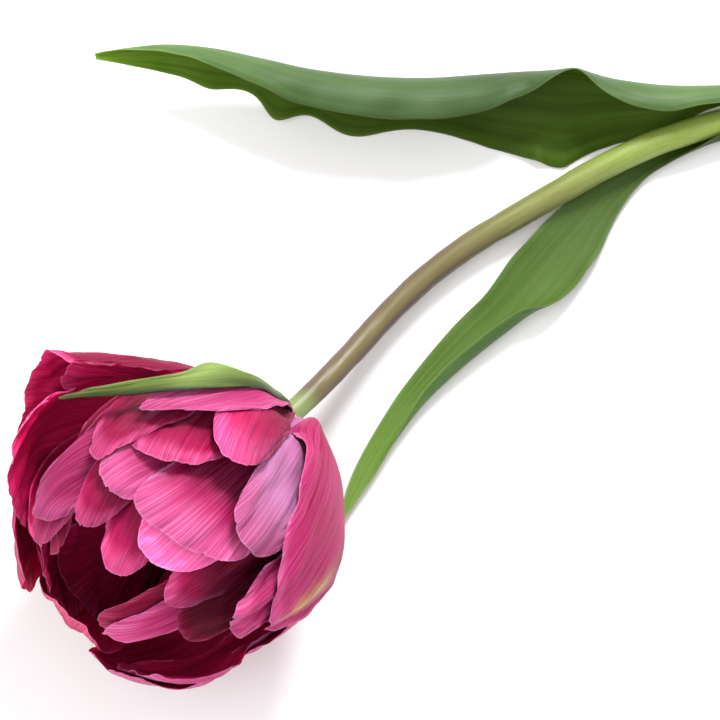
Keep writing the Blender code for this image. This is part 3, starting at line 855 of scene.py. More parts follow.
class PetalStack:
    """Lays petals one inside another, from the outermost in, over the table."""

    CLEARANCE = 0.62                        # mm between two middle surfaces
    TABLE_CLEARANCE = 0.3                   # mm
    LOOK_ASIDE = math.radians(1.9)
    ASIDE_SHARE = 0.55                      # of the clearance, to either side
    CLAW_SHARE = 0.2                        # the same, near the claws
    CLAW_ZONE = math.cos(math.radians(34))  # from the stalk
    LEAST_SLANT = 0.35
    ROUNDS = 5
    CLOSE_ENOUGH = 0.02                     # mm

    def __init__(self, blossom: BlossomFrame) -> None:
        """Starts with nothing laid.

        Args:
            blossom: where the petals go.
        """
        self.blossom = blossom
        self.points: list[list[float]] = []
        self.faces: list[tuple[int, int, int, int]] = []
        self.tree: BVHTree | None = None

    def free_reach(self, directions: np.ndarray, clearance: np.ndarray) -> np.ndarray:
        """How far from the centre a point may lie.

        Args:
            directions: unit vectors from the centre.
            clearance: room to keep in each of them, in mm.

        Returns:
            The greatest reach in each direction.
        """
        centre = self.blossom.centre
        down = np.minimum(directions[:, 2], -1e-6)
        limit = np.where(directions[:, 2] < 0, (self.TABLE_CLEARANCE - centre[2]) / down, 1e3)
        if self.tree is None:
            return limit
        aside = units(np.cross(directions, self.blossom.axis))
        above = np.cross(directions, aside)
        near_claw = -directions @ self.blossom.axis > self.CLAW_ZONE
        share = np.where(near_claw, self.CLAW_SHARE, self.ASIDE_SHARE)
        rays = [(directions, clearance)]
        for sixth in range(6):
            lean = math.cos(sixth * math.pi / 3) * aside + math.sin(sixth * math.pi / 3) * above
            rays.append((directions + math.tan(self.LOOK_ASIDE) * lean, share * clearance))
        start, cast = Vector(centre), self.tree.ray_cast
        for ways, margins in rays:
            rows = zip(ways.tolist(), directions, margins)
            for number, (way, direction, margin) in enumerate(rows):
                hit = cast(start, way)[0]
                if hit is not None:
                    free = (hit[0] - start[0]) * direction[0] + (hit[1] - start[1]) * direction[1]
                    free += (hit[2] - start[2]) * direction[2] - margin
                    limit[number] = min(limit[number], free)
        return limit

    def laid(self, net: np.ndarray) -> np.ndarray:
        """Draws a net inwards until it clears the table and every petal laid before.

        Args:
            net: the petal's middle surface.

        Returns:
            The net as laid.
        """
        centre = self.blossom.centre
        for _ in range(self.ROUNDS):
            across, along = np.gradient(net, axis=1), np.gradient(net, axis=0)
            normal = units(np.cross(across, along)).reshape(-1, 3)
            offset = net.reshape(-1, 3) - centre
            reach = np.linalg.norm(offset, axis=1)
            direction = offset / reach[:, None]
            slant = np.maximum(np.abs((normal * direction).sum(axis=1)), self.LEAST_SLANT)
            over = np.maximum(reach - self.free_reach(direction, self.CLEARANCE / slant), 0)
            if over.max() < self.CLOSE_ENOUGH:
                break
            over = self.spread_out(over.reshape(net.shape[:2]))
            net = net - over[..., None] * direction.reshape(net.shape)
        self.add(net)
        return net

    @staticmethod
    def spread_out(excess: np.ndarray) -> np.ndarray:
        """Spreads a push to the points around, so that no step is left.

        Args:
            excess: the push that each point needs.

        Returns:
            The push that it gets.
        """
        softened = excess
        for _ in range(4):
            padded = np.pad(softened, 1, mode="edge")
            around = (padded[:-2, 1:-1] + padded[2:, 1:-1]
                      + padded[1:-1, :-2] + padded[1:-1, 2:]) / 4
            softened = np.maximum(excess, 0.9 * around)
        return softened

    def add(self, net: np.ndarray) -> None:
        """Keeps a laid net, for later petals to clear.

        Args:
            net: the net.
        """
        rows, columns = net.shape[0] - 1, net.shape[1] - 1
        first, wide = len(self.points), columns + 1
        self.points.extend(net.reshape(-1, 3).tolist())
        for row in range(rows):
            for column in range(columns):
                corner = first + row * wide + column
                self.faces.append((corner, corner + 1, corner + wide + 1, corner + wide))
        self.tree = BVHTree.FromPolygons(self.points, self.faces)


class SheetPiece:
    """Makes a thin solid piece from a smooth sheet, starting from a flat grid."""

    THIN_STEPS = 10             # steps from the rim's thickness to the full one
    RIM_THICKNESS = 0.3         # share of the full thickness

    @staticmethod
    def grid(name: str, columns: int, rows: int) -> tuple[bpy.types.Object, np.ndarray, np.ndarray]:
        """Adds a flat grid.

        Args:
            name: the piece's name.
            columns, rows: how many faces it has each way.

        Returns:
            The object, and each point's place across, from 1 to -1, and along, from 0 to 1.
        """
        bpy.ops.object.select_all(action="DESELECT")
        bpy.ops.mesh.primitive_grid_add(x_subdivisions=columns, y_subdivisions=rows, size=1.0,
                                        calc_uvs=True, location=(0, 0, 0))
        made = bpy.context.object
        made.name = made.data.name = name
        flat = points_of(made.data)
        return made, np.clip(-2 * flat[:, 0], -1, 1), np.clip(flat[:, 1] + 0.5, 0, 1)

    @staticmethod
    def settle(made: bpy.types.Object, points: np.ndarray, vein: np.ndarray, along: np.ndarray,
               values: dict[str, np.ndarray], thinning: np.ndarray) -> None:
        """Puts a grid's points on the sheet, and keeps on them what the finish reads.

        Args:
            made: the grid.
            points: where they go, in mm.
            vein, along: the UV map's two numbers.
            values: what the finish reads at each point, by attribute name.
            thinning: share of the full thickness.
        """
        mesh = made.data
        put_points(mesh, points, vein, along)
        for label, numbers in values.items():
            kept = mesh.attributes.new(label, "FLOAT", "POINT")
            kept.data.foreach_set("value", numbers.astype(np.float32))
        group = made.vertex_groups.new(name="body")
        steps = SheetPiece.THIN_STEPS
        for level in range(steps + 1):
            chosen = np.where(np.round(thinning * steps).astype(int) == level)[0]
            if len(chosen):
                group.add(chosen.tolist(), level / steps, "REPLACE")
        mesh.update()

    @staticmethod
    def thicken(made: bpy.types.Object, thickness: float, outer: bpy.types.Material,
                inner: bpy.types.Material) -> None:
        """Gives the sheet two faces and a rim.

        Args:
            made: the sheet, whose faces look out.
            thickness: in mm.
            outer, inner: the finish of each face.
        """
        made.data.materials.append(outer)
        made.data.materials.append(inner)
        bpy.context.view_layer.objects.active = made
        wall = made.modifiers.new("Wall", "SOLIDIFY")
        wall.thickness = thickness * MM
        wall.offset = 0.0
        wall.vertex_group = "body"
        wall.thickness_vertex_group = SheetPiece.RIM_THICKNESS
        wall.material_offset = 1
        bpy.ops.object.modifier_apply(modifier=wall.name)
        made.vertex_groups.clear()
        made.data.shade_smooth()


@dataclass
class Petal:
    """One finished petal."""

    form: PetalForm
    net: np.ndarray
    columns: int = 80
    rows: int = 76
    thickness: float = 0.34
    pleat: float = 0.06
    frill: float = 0.22
    NICKS: ClassVar[int] = 2
    VEIN_SPREAD: ClassVar[float] = 32.0     # mm of petal to one step of the UV map's first number
    FULL_THICKNESS_AT: ClassVar[float] = 3.5    # mm in from the margin
    FRILL_REACH: ClassVar[float] = 2.5      # mm in from the margin
    FLAME_AT: ClassVar[float] = 0.8         # share of the length
    FLAME_SPREAD: ClassVar[tuple[float, float]] = (0.17, 0.12)  # across and along

    def nicks(self, at: np.ndarray, seed: int) -> np.ndarray:
        """Waves, crimps and nicks in the margin.

        Args:
            at: places round it, from 0 to 1.
            seed: picks one margin.

        Returns:
            How deep they cut in, in mm.
        """
        chance = np.random.default_rng(seed)
        cut = 0.3 * (1 + wander(at, seed, 2.0, 2)) + 0.09 * (1 + wander(at, seed + 1, 30.0, 2))
        for _ in range(self.NICKS):
            place, breadth = chance.uniform(0.05, 0.95), chance.uniform(0.008, 0.018)
            nick = np.exp(-(((at - place) / breadth) ** 2))
            cut = cut + self.form.notch * chance.uniform(0.2, 0.9) * nick
        return cut

    def crimped(self, row: np.ndarray, column: np.ndarray, across: np.ndarray, along: np.ndarray,
                margin: np.ndarray) -> np.ndarray:
        """The net's surface with fine pleats along the veins and a crimped margin.

        Args:
            row, column: where each point lies on the net.
            across, along: the same as shares, from -1 to 1 and from 0 to 1.
            margin: mm to the nearest margin.

        Returns:
            The points, in mm.
        """
        seed = self.form.seed
        points = patch(self.net, row, column)
        ahead = patch(self.net, row + 0.05, column) - points
        aside = patch(self.net, row, column + 0.05) - points
        normal = units(np.cross(aside, ahead))
        swayed = across * 0.5 + 0.02 * wander(along, seed + 8, 2.0)
        pleats = self.pleat * wander(swayed, seed + 9, 15.0, 2)
        round_margin = across * 0.5 + along * 0.8
        frill = self.frill * np.exp(-margin / self.FRILL_REACH)
        frill = frill * wander(round_margin, seed + 10, 5.0, 2)
        lift = pleats * smooth(0.1, 0.5, along) + frill * smooth(0.3, 0.6, along)
        return points + (lift * (self.form.notch > 0))[:, None] * normal

    def build(self, wardrobe: Wardrobe, slot: str = "petal",
              faces: tuple[Enum, Enum] | None = None) -> None:
        """Makes the petal's piece.

        Args:
            wardrobe: where its finishes come from.
            slot: not used.
            faces: the outer and inner finish, if not the form's own.
        """
        form, seed = self.form, self.form.seed
        made, across, along = SheetPiece.grid(form.name + "_look", self.columns, self.rows)
        across = np.sin(across * math.pi / 2)
        bunched = 1 - (1 - along) ** 1.3
        rows, columns = self.net.shape[0] - 1, self.net.shape[1] - 1
        length = np.linalg.norm(np.diff(self.net[:, columns // 2], axis=0), axis=1).sum()
        half = np.linalg.norm(np.diff(self.net[rows // 2], axis=0), axis=1).sum() / 2
        end_cut = self.nicks(across * 0.5 + 0.5, seed + 5) / length
        side_cut = self.nicks(bunched, seed + 6) / half
        row = bunched * (1 - end_cut * bunched**9) * rows
        inset = across * (1 - 0.8 * side_cut * np.abs(across) ** 12)
        column = (np.arcsin(np.clip(inset, -1, 1)) / math.pi + 0.5) * columns
        margin = np.minimum((1 - bunched) * length, (1 - np.abs(across)) * half)
        points = self.crimped(row, column, across, bunched, margin)
        vein = across * (1.3 - 0.5 * bunched) * half / self.VEIN_SPREAD + 0.5 + (seed % 97)
        edge = np.minimum((1 - bunched) * length, 3.0 * (1 - np.abs(across)) * half + 8.0)
        wide, high = self.FLAME_SPREAD
        past_flame = bunched - self.FLAME_AT
        flame = np.exp(-(((across - 0.25 + 0.8 * past_flame) / wide) ** 2)
                       - (past_flame / high) ** 2)
        # The lobe's belly is lighter: partly a painted highlight.
        swell = 0.1 * form.lobe * np.exp(-(((along - form.opening) / 0.09) ** 2))
        # The tone attribute holds the petal's tone, painted shade on one side and the lobe's
        # painted highlight.
        values = {"margin": margin, "edge": edge / form.bloom, "stain": form.stain * flame,
                  "tone": form.tone - form.flush * across + swell}
        SheetPiece.settle(made, points, vein, bunched, values,
                          smooth(0.0, self.FULL_THICKNESS_AT, margin))
        outer, inner = faces or (form.outer, form.inner)
        SheetPiece.thicken(made, self.thickness, wardrobe.get(outer), wardrobe.get(inner))
        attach(made, ROOT)
        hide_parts(form.name)


# Tone and side shade are partly each petal's own colour and partly painted light and shade: they
# lift petals and inner faces that lie in shade, and darken hollows and shaded sides.
PETALS: tuple[PetalForm, ...] = (
    PetalForm("bract_leaf", 14, (76, 29, 46.4), (101, 72, 47.4), (2.5, 1.9), 0.6, 1.8,
        roll=(20, 4), neck=0.2, opening=0.45, taper=1.3, claw=1.8, waist=3.0, ruffle=0.3,
        notch=0.0, lobe=3.4, tone=-0.62, flush=0.35),
    PetalForm("outer_petal_top_band", 16, (60, 23, 44.8), (97, 38, 45.4), (9.5, 5.5), 0.55, 1.7,
        cup=(1.2, 1.8), waist=2.0, dip=1.0, outer=Tone.FUCHSIA, tone=-0.12, bloom=2.8),
    PetalForm("outer_petal_top_dome", 12, (58, 10, 45.2), (92, 0, 45.6), (10, 9.6), 0.6, 2.3,
        cup=(1.6, 4.2), dip=2.0, rise=0.5, outer=Tone.CRIMSON, tone=0.15, flush=0.6, bloom=2.3),
    PetalForm("outer_petal_right", -50, (60, -50, 43.8), (108, -65, 41.4), (23, 6), 0.72, 2.0,
        skew=0.05, opening=0.3, taper=2.1, waist=0.0, outer=Tone.FUCHSIA, tone=0.1, flush=0.05,
        stain=0.9, bloom=0.7),
    PetalForm("outer_petal_flared", 92, (58, 92, 40.0), (97, 92, 52.5), (23, 20), 0.82, 3.8,
        skew=-0.05, roll=(-14, -34), cup=(0.9, 0.4), hem=(140, 0), waist=0.0, ruffle=0.9,
        outer=Tone.CRIMSON, inner=Tone.GLOW, tone=0.15, bloom=0.4),
    PetalForm("outer_petal_under_left", 158, (62, 160, 42.3), (112, 158, 41.8), (20, 16), 0.6),
    PetalForm("outer_petal_under_middle", -158, (62, -158, 43.3), (112, -158, 42.5), (20, 16),
        0.6),
    PetalForm("outer_petal_under_right", -112, (60, -108, 42.4), (106, -104, 39.4), (18, 13), 0.6,
        outer=Tone.FUCHSIA),
    PetalForm("outer_petal_low_left", 140, (78, 134, 42.4), (151, 131, 44.0), (17, 17), 0.64, 2.2,
        inner=Tone.GLOW, tone=0.5),
    PetalForm("outer_petal_bottom", -132, (78, -130, 42.6), (156, -130, 43.2), (19, 18), 0.68, 2.6,
        roll=(2, 8), outer=Tone.FUCHSIA, inner=Tone.GLOW, tone=0.1, bloom=0.8),
    # Its outer face shows, in the dark wine finish: painted shade.
    PetalForm("middle_petal_back", 62, (62, 68, 40.0), (93, 73, 50.8), (7, 10), 0.78, 2.6,
        roll=(-8, -30), cup=(0.9, 0.8), opening=0.9, waist=0.0, inner=Tone.GLOW, tone=-0.12),
    PetalForm("outer_petal_left", 118, (76, 112, 41.0), (131, 96, 45.4), (20, 18), 0.7, 3.2,
        roll=(-8, -22), cup=(0.9, 0.7), inner=Tone.GLOW, tone=0.55, flush=-0.8),
    PetalForm("outer_petal_foot", 176, (80, 176, 41.0), (171, 182, 39.2), (18, 14), 0.66,
        inner=Tone.GLOW, tone=1.1),
    PetalForm("middle_petal_mauve", -22, (60, -19, 44.2), (107, -24, 43.8), (11, 10.5), 0.7, 2.4,
        cup=(1.3, 1.9), opening=0.35, waist=1.5, dip=3.0, rise=0.55, ruffle=0.9, outer=Tone.MAUVE,
        tone=-0.27, flush=0.1, bloom=2.4),
    PetalForm("middle_petal_fold", 46, (66, 44, 43.6), (119, 43, 43.6), (11, 9), 0.58, 2.0,
        cup=(1.5, 3.2), dip=4.0, outer=Tone.CRIMSON, tone=-0.12),
    PetalForm("middle_petal_top", 34, (64, 31, 43.0), (108, 21, 43.4), (15.5, 14.5), 0.66, 2.8,
        cup=(1.2, 1.8), dip=5.0, outer=Tone.CRIMSON),
    PetalForm("middle_petal_cup", 150, (80, 150, 38.5), (154, 152, 38.0), (15, 16), 0.7,
        inner=Tone.GLOW, tone=0.35),
    PetalForm("middle_petal_bottom", -112, (78, -112, 42.0), (151, -112, 42.8), (12, 17), 0.7, 2.8,
        roll=(4, 14), opening=0.8, dip=1.0, outer=Tone.FUCHSIA, inner=Tone.GLOW, tone=0.15,
        bloom=0.9),
    PetalForm("middle_petal_centre", -4, (68, -6, 42.4), (125, -6, 42.8), (15, 18), 0.78, 3.2,
        skew=-0.08, opening=0.75, dip=6.5, rise=0.66, ruffle=0.5, outer=Tone.ROSE, tone=0.02,
        flush=-0.15, bloom=0.84),
    PetalForm("middle_petal_centre_left", 10, (72, 15, 42.6), (126, 33, 43.0), (13, 12), 0.62, 2.4,
        cup=(1.4, 2.4), dip=4.0, outer=Tone.ROSE, tone=-0.1, bloom=0.85),
    PetalForm("inner_petal_small_cup", 36, (86, 34, 42.2), (142, 37, 42.2), (9.5, 8), 0.64, 2.4,
        cup=(2.0, 4.4), dip=3.0, outer=Tone.CRIMSON, tone=-0.1, flush=0.3),
    PetalForm("middle_petal_left", 34, (84, 36, 43.4), (143, 64, 45.8), (9.8, 9.4), 0.62, 2.6,
        cup=(1.4, 2.4), dip=3.0, outer=Tone.FUCHSIA, tone=-0.34, flush=0.15, bloom=0.8),
    PetalForm("middle_petal_point", 128, (88, 122, 41.0), (156, 138, 42.4), (10, 8), 0.5, 1.8,
        inner=Tone.GLOW, tone=0.4),
    PetalForm("inner_petal_ragged", -54, (76, -53, 42.6), (122, -53, 43.6), (10, 8.5), 0.66, 2.4,
        cup=(1.2, 1.8), dip=4.0, ruffle=1.0, notch=3.0, outer=Tone.FUCHSIA),
    PetalForm("inner_petal_strip", 44, (92, 48, 39.4), (152, 76, 42.8), (9, 9), 0.6, dip=2.0,
        outer=Tone.CRIMSON, tone=-0.1),
    PetalForm("inner_petal_low", -6, (80, -6, 41.6), (136, -7, 41.8), (12.5, 11.5), 0.7, 2.6,
        skew=-0.04, cup=(1.2, 2.0), dip=5.0, rise=0.7, outer=Tone.ROSE, tone=1.0, bloom=1.4),
    PetalForm("inner_petal_folded", -34, (84, -27, 40.8), (141, -30, 41.6), (11.5, 9), 0.6, 1.9,
        cup=(2.0, 5.0), dip=4.0, outer=Tone.CRIMSON, tone=-0.12, flush=0.8),
    # Darker, in the dark wine finish: painted shade.
    PetalForm("inner_petal_rim", -52, (90, -50, 37.0), (140, -52, 40.4), (6, 8), 0.64,
        roll=(-18, -46), opening=0.8, dip=2.0, inner=Tone.GLOW, tone=-0.35, bloom=0.4),
    PetalForm("inner_petal_bright", -60, (96, -54, 37.5), (168, -60, 42.2), (5, 9), 0.66, 1.8,
        cup=(1.8, 3.6), opening=0.9, dip=7.0, rise=0.7, outer=Tone.FUCHSIA, tone=0.25),
    PetalForm("inner_petal_lip", -50, (94, -42, 36.5), (172, -54, 40.0), (6, 9.5), 0.66, 2.2,
        opening=0.85, dip=5.0, rise=0.74, inner=Tone.GLOW, tone=0.1),
    PetalForm("inner_petal_tongue", 30, (90, 24, 40.6), (152, 5, 40.2), (10.5, 9), 0.66, 2.4,
        cup=(2.2, 4.4), dip=4.0, outer=Tone.CRIMSON, tone=0.28, flush=0.4, bloom=1.3),
    PetalForm("inner_petal_narrow", 60, (96, 58, 36.5), (156, 88, 37.0), (7, 7), 0.6, tone=0.2),
    # Darker: painted shade in the hollow.
    PetalForm("inner_petal_cup", 176, (84, 174, 32.5), (146, 172, 34.0), (15, 21), 0.84, 3.0,
        opening=0.8, notch=0.5, ruffle=0.4, inner=Tone.GLOW, tone=-0.46, flush=-0.5, bloom=1.6),
    PetalForm("heart_petal_left", 110, (84, 108, 32.0), (134, 106, 31.0), (10, 7), 0.55),
    PetalForm("heart_petal_right", -70, (84, -84, 32.0), (130, -84, 31.0), (10, 7), 0.55),
)


class Blossom:
    """All the petals and the bract, laid one inside another."""

    def __init__(self, forms: tuple[PetalForm, ...], blossom: BlossomFrame) -> None:
        """Takes the petals from the outermost in."""
        self.forms = forms
        self.blossom = blossom

    def nets(self) -> dict[str, np.ndarray]:
        """Each petal's net, by name."""
        stack = PetalStack(self.blossom)
        return {form.name: stack.laid(PetalSheet(form, self.blossom).net()) for form in self.forms}

    def build(self, wardrobe: Wardrobe) -> None:
        """Makes every petal and the bract.

        Args:
            wardrobe: where their finishes come from.
        """
        nets = self.nets()
        for form in self.forms:
            if form.name == "bract_leaf":
                Petal(form, nets[form.name], thickness=0.5).build(
                    wardrobe, "leaf", (Greens.BRACT, Greens.INSIDE))
            else:
                Petal(form, nets[form.name]).build(wardrobe)
        LOG.info("blossom: %d pieces", len(self.forms))


# ---- leaves
@dataclass(frozen=True)
class Station:
    """One cross-section of a long leaf, at a point of its midrib.

    A side is its width in mm, then the angles above the level at which it starts out from the
    midrib and ends at its margin. Past 90 degrees it comes back over the leaf.
    """

    midrib: Triple
    left: Triple
    right: Triple


@dataclass
class LongLeaf:
    """A long leaf whose foot clasps the stalk."""

    node: str
    stations: tuple[Station, ...]
    shift: np.ndarray
    lobes: tuple[tuple[float, float, float], ...] = ()   # station, mm, breadth in stations
    wave: float = 7.0           # degrees that its margins sway
    columns: int = 72
    rows: int = 300
    thickness: float = 0.7
    table_gap: float = 0.4      # mm, and the mm over which it settles down to it
    tones_and_shade: Triple = (0.0, 0.0, 0.0)     # lighter or darker at its foot, half way and at its tip: its own greens with painted shade
    arc_steps: int = 48
    TIP_MARGIN: ClassVar[float] = 60.0          # mm of margin for a whole length from the tip
    FULL_THICKNESS_AT: ClassVar[float] = 1.6    # mm in from the margin

    def sides(self, at: np.ndarray) -> list[np.ndarray]:
        """Each side's points, for rows along the leaf.

        Args:
            at: where the rows lie, in stations from 0.

        Returns:
            Left and right points from the midrib out, each rows by steps by 3.
        """
        midribs = blended(self.stations_of("midrib"), at) + self.shift
        ahead = np.gradient(midribs, axis=0)
        outward = units(np.cross(UP, ahead))
        made = []
        for name, way in (("left", 1), ("right", -1)):
            values = blended(self.stations_of(name), at)
            share = (np.arange(self.arc_steps) + 0.5) / self.arc_steps
            wavy = self.wave * wander(at / 12, 31 + way, 9.0, 2)[:, None] * share**3
            angle = np.radians(values[:, 1:2] + (values[:, 2:3] - values[:, 1:2]) * share + wavy)
            more = self.lobed(at)[:, None] * (way > 0)
            step = (values[:, 0:1] + more * 3 * share**2) / self.arc_steps
            turned = np.cos(angle)[..., None] * way * outward[:, None]
            moves = step[..., None] * (turned + np.sin(angle)[..., None] * UP)
            reached = [np.zeros_like(moves[:, :1]), np.cumsum(moves, axis=1)]
            made.append(midribs[:, None] + np.concatenate(reached, axis=1))
        return made

    def lobed(self, at: np.ndarray) -> np.ndarray:
        """How far the left margin's lobes stand out, in mm."""
        return sum((mm * np.exp(-(((at - place) / breadth) ** 2))
                    for place, mm, breadth in self.lobes), np.zeros_like(at))

    def stations_of(self, what: str) -> list[Triple]:
        """The numbers of midrib, left or right at every station."""
        return [getattr(station, what) for station in self.stations]

    def build(self, wardrobe: Wardrobe, outer: Greens, inner: Greens) -> None:
        """Makes the leaf's piece.

        Args:
            wardrobe: where its finishes come from.
            outer, inner: the finish of the face outside the fold, and inside it.
        """
        made, across, along = SheetPiece.grid(self.node + "_look", self.columns, self.rows)
        last = len(self.stations) - 1
        rows_at = np.linspace(0, last, self.rows + 1)
        left, right = self.sides(rows_at)
        row = np.round(along * self.rows).astype(int)
        reach = np.abs(across) * self.arc_steps
        low = np.clip(np.floor(reach).astype(int), 0, self.arc_steps - 1)
        part = (reach - low)[:, None]
        both = [half[row, low] * (1 - part) + half[row, low + 1] * part for half in (left, right)]
        side = np.where((across > 0)[:, None], *both)
        above = side[:, 2] - self.table_gap
        side[:, 2] = self.table_gap + 0.5 * (above + np.hypot(above, self.table_gap))
        widths = [np.linalg.norm(np.diff(half, axis=1), axis=2).sum(axis=1)[row]
                  for half in (left, right)]
        margin = (1 - np.abs(across)) * np.where(across > 0, *widths)
        margin = np.minimum(margin, (1 - along) * self.TIP_MARGIN)
        tone = through(*self.tones_and_shade, along)
        SheetPiece.settle(made, side, across * 0.5 + 0.5, along,
                          {"margin": margin, "tone": tone},
                          smooth(0.0, self.FULL_THICKNESS_AT, margin))
        self.turn_over(made)
        SheetPiece.thicken(made, self.thickness, wardrobe.get(outer), wardrobe.get(inner))
        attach(made, ROOT)
        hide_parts(self.node)
        LOG.info("%s: %d points", self.node, len(made.data.vertices))

    @staticmethod
    def turn_over(made: bpy.types.Object) -> None:
        """Makes the sheet's faces look the other way.

        Args:
            made: the sheet.
        """
        bpy.context.view_layer.objects.active = made
        bpy.ops.object.mode_set(mode="EDIT")
        bpy.ops.mesh.select_all(action="SELECT")
        bpy.ops.mesh.flip_normals()
        bpy.ops.object.mode_set(mode="OBJECT")


UPPER_LEAF = tuple(Station(*row) for row in (
    ((133.5, 85.7, 1.9), (11.0, -50, 96), (8.0, 50, 157)),
    ((122.0, 84.6, 2.0), (6.4, -54, 26), (9.0, 50, 150)),
    ((110.0, 83.8, 3.4), (3.6, -62, -44), (11.5, 62, 165)),
    ((98.0, 82.8, 5.2), (6.5, -74, -40), (12.0, 64, 178)),
    ((84.0, 83.0, 5.8), (13.0, -62, 8), (15.0, 72, 188)),
    ((71.0, 84.6, 6.0), (18.5, -50, 6), (14.5, 76, 168)),
    ((59.0, 86.6, 6.0), (25.5, -34, 8), (12.0, 76, 112)),
    ((47.0, 87.2, 6.0), (23.8, -34, 8), (14.0, 80, 165)),
    ((35.0, 86.6, 6.2), (20.4, -40, 4), (18.0, 84, 192)),
    ((19.0, 85.5, 6.6), (15.0, -54, 0), (19.8, 85, 202)),
    ((3.0, 85.8, 7.2), (14.4, -58, 0), (19.2, 85, 202)),
    ((-13.0, 87.6, 8.0), (11.6, -60, 0), (17.6, 85, 200)),
    ((-26.0, 90.3, 9.0), (9.6, -56, 0), (14.0, 85, 190)),
    ((-40.0, 93.0, 10.5), (9.2, -52, 0), (9.5, 84, 180)),
    ((-53.0, 93.8, 12.0), (7.8, -48, 0), (5.5, 82, 160)),
    ((-64.0, 92.4, 13.5), (4.4, -40, 0), (2.6, 76, 130)),
    ((-72.5, 90.4, 14.5), (0.9, -30, -10), (0.9, 40, 60)),
))
UPPER_LEAF_LOBES = ((13.0, 2.0, 0.45), (11.55, 5.6, 0.42), (10.3, 3.6, 0.5))

LOWER_LEAF = tuple(Station(*row) for row in (
    ((113.0, 74.3, 2.2), (8.0, 50, 157), (6.5, -50, 36)),
    ((101.0, 70.9, 2.2), (6.0, 50, 130), (6.5, -50, 36)),
    ((89.5, 67.2, 1.5), (4.2, 44, 84), (4.8, -30, 0)),
    ((78.0, 61.6, 0.9), (2.8, 14, 40), (5.0, -4, 4)),
    ((67.0, 52.4, 0.9), (5.5, 0, 26), (6.5, 0, 12)),
    ((57.5, 41.0, 0.9), (9.5, 0, 42), (9.0, 4, 28)),
    ((49.0, 30.5, 0.9), (11.0, 0, 66), (10.0, 5, 35)),
    ((40.0, 20.8, 0.9), (10.5, 0, 150), (8.5, 5, 35)),
    ((28.0, 10.3, 0.9), (9.5, 0, 172), (7.0, 5, 35)),
    ((16.0, -1.8, 1.0), (7.2, 0, 170), (5.0, 5, 30)),
    ((7.0, -13.5, 1.3), (4.6, 0, 100), (3.6, 0, 20)),
    ((0.0, -25.0, 1.8), (2.8, 0, 40), (2.6, 0, 14)),
    ((-5.0, -35.5, 2.6), (0.8, 0, 10), (0.8, 0, 8)),
))


# ---- stalk and heart
@dataclass
class Stalk:
    """The round stalk, from under the blossom to its cut end."""

    blossom: BlossomFrame
    top_radius: float = 3.1
    foot_radius: float = 3.6
    rings: int = 240
    sides: int = 28
    easing: int = 140
    route: tuple[Triple, ...] = (
        (-1.5, 9.2, 10.4), (10.9, 24.0, 6.6), (27.4, 38.2, 5.3), (43.9, 48.1, 5.0),
        (60.4, 57.9, 5.0), (77.0, 66.8, 5.1), (93.6, 72.5, 5.1), (110.2, 77.0, 5.0),
        (127.0, 81.1, 4.8), (149.0, 85.2, 4.3), (168.0, 87.6, 3.9), (186.0, 89.2, 3.7),
    )
    straight: float = 16.0      # mm that it runs on straight under the blossom
    unevenness: float = 0.07
    WIDENING: ClassVar[float] = 2.2     # it has its full width after the length divided by this
    CUT_EDGE: ClassVar[float] = math.radians(50)

    def middle(self) -> np.ndarray:
        """The stalk's middle line.

        Returns:
            Points from under the receptacle to the cut end.
        """
        top = self.blossom.stalk_top
        laid = np.array(self.route) + self.blossom.shift
        points = np.array([top, top - self.straight * self.blossom.axis, *laid])
        middle = blended(points, np.linspace(0, len(points) - 1, 4 * self.rings))
        steps = np.linalg.norm(np.diff(middle, axis=0), axis=1)
        length = np.concatenate([[0], np.cumsum(steps)])
        even = np.linspace(0, length[-1], self.rings)
        middle = np.stack([np.interp(even, length, middle[:, axis]) for axis in range(3)], axis=1)
        for _ in range(self.easing):
            middle[1:-1] = (middle[:-2] + 2 * middle[1:-1] + middle[2:]) / 4
        return middle

    def build(self, wardrobe: Wardrobe) -> None:
        """Makes the stalk's piece from a cylinder whose rings are set along its route.

        Args:
            wardrobe: where its finish comes from.
        """
        bpy.ops.object.select_all(action="DESELECT")
        bpy.ops.mesh.primitive_cylinder_add(vertices=self.sides, radius=1.0, depth=1.0,
                                            end_fill_type="NGON", location=(0, 0, 0))
        made = bpy.context.object
        made.name = made.data.name = "stem_look"
        bpy.ops.object.mode_set(mode="EDIT")
        for number in range(1, self.rings - 1):
            height = number / (self.rings - 1) - 0.5
            bpy.ops.mesh.select_all(action="SELECT")
            bpy.ops.mesh.bisect(plane_co=(0, 0, height), plane_no=(0, 0, 1))
        bpy.ops.object.mode_set(mode="OBJECT")
        self.lay(made)
        made.data.materials.append(wardrobe.get(StalkFinish()))
        made.data.shade_smooth()
        made.data.set_sharp_from_angle(angle=self.CUT_EDGE)
        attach(made, ROOT)
        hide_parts("stem")
        LOG.info("stem: %d points", len(made.data.vertices))

    def lay(self, made: bpy.types.Object) -> None:
        """Bends the straight cylinder along the route, and gives it its UV map.

        Args:
            made: the cylinder.
        """
        flat = points_of(made.data)
        along = np.clip(flat[:, 2] + 0.5, 0, 1)
        ring = np.round(along * (self.rings - 1)).astype(int)
        middle = self.middle()
        ahead = units(np.gradient(middle, axis=0))
        side = units(np.cross(ahead, UP))
        above = np.cross(side, ahead)
        turn = np.arctan2(flat[:, 1], flat[:, 0])
        grown = np.minimum(1.0, self.WIDENING * along)
        radius = self.top_radius + (self.foot_radius - self.top_radius) * grown
        uneven = self.unevenness * wander(along * 2 + 0.1 * np.cos(turn), 5, 6.0)
        radius = radius + uneven * smooth(0.01, 0.05, along)
        outward = np.cos(turn)[:, None] * side[ring] - np.sin(turn)[:, None] * above[ring]
        points = middle[ring] + (radius * np.hypot(flat[:, 0], flat[:, 1]))[:, None] * outward
        put_points(made.data, points, turn / (2 * math.pi) + 0.5, along)
        made.data.update()


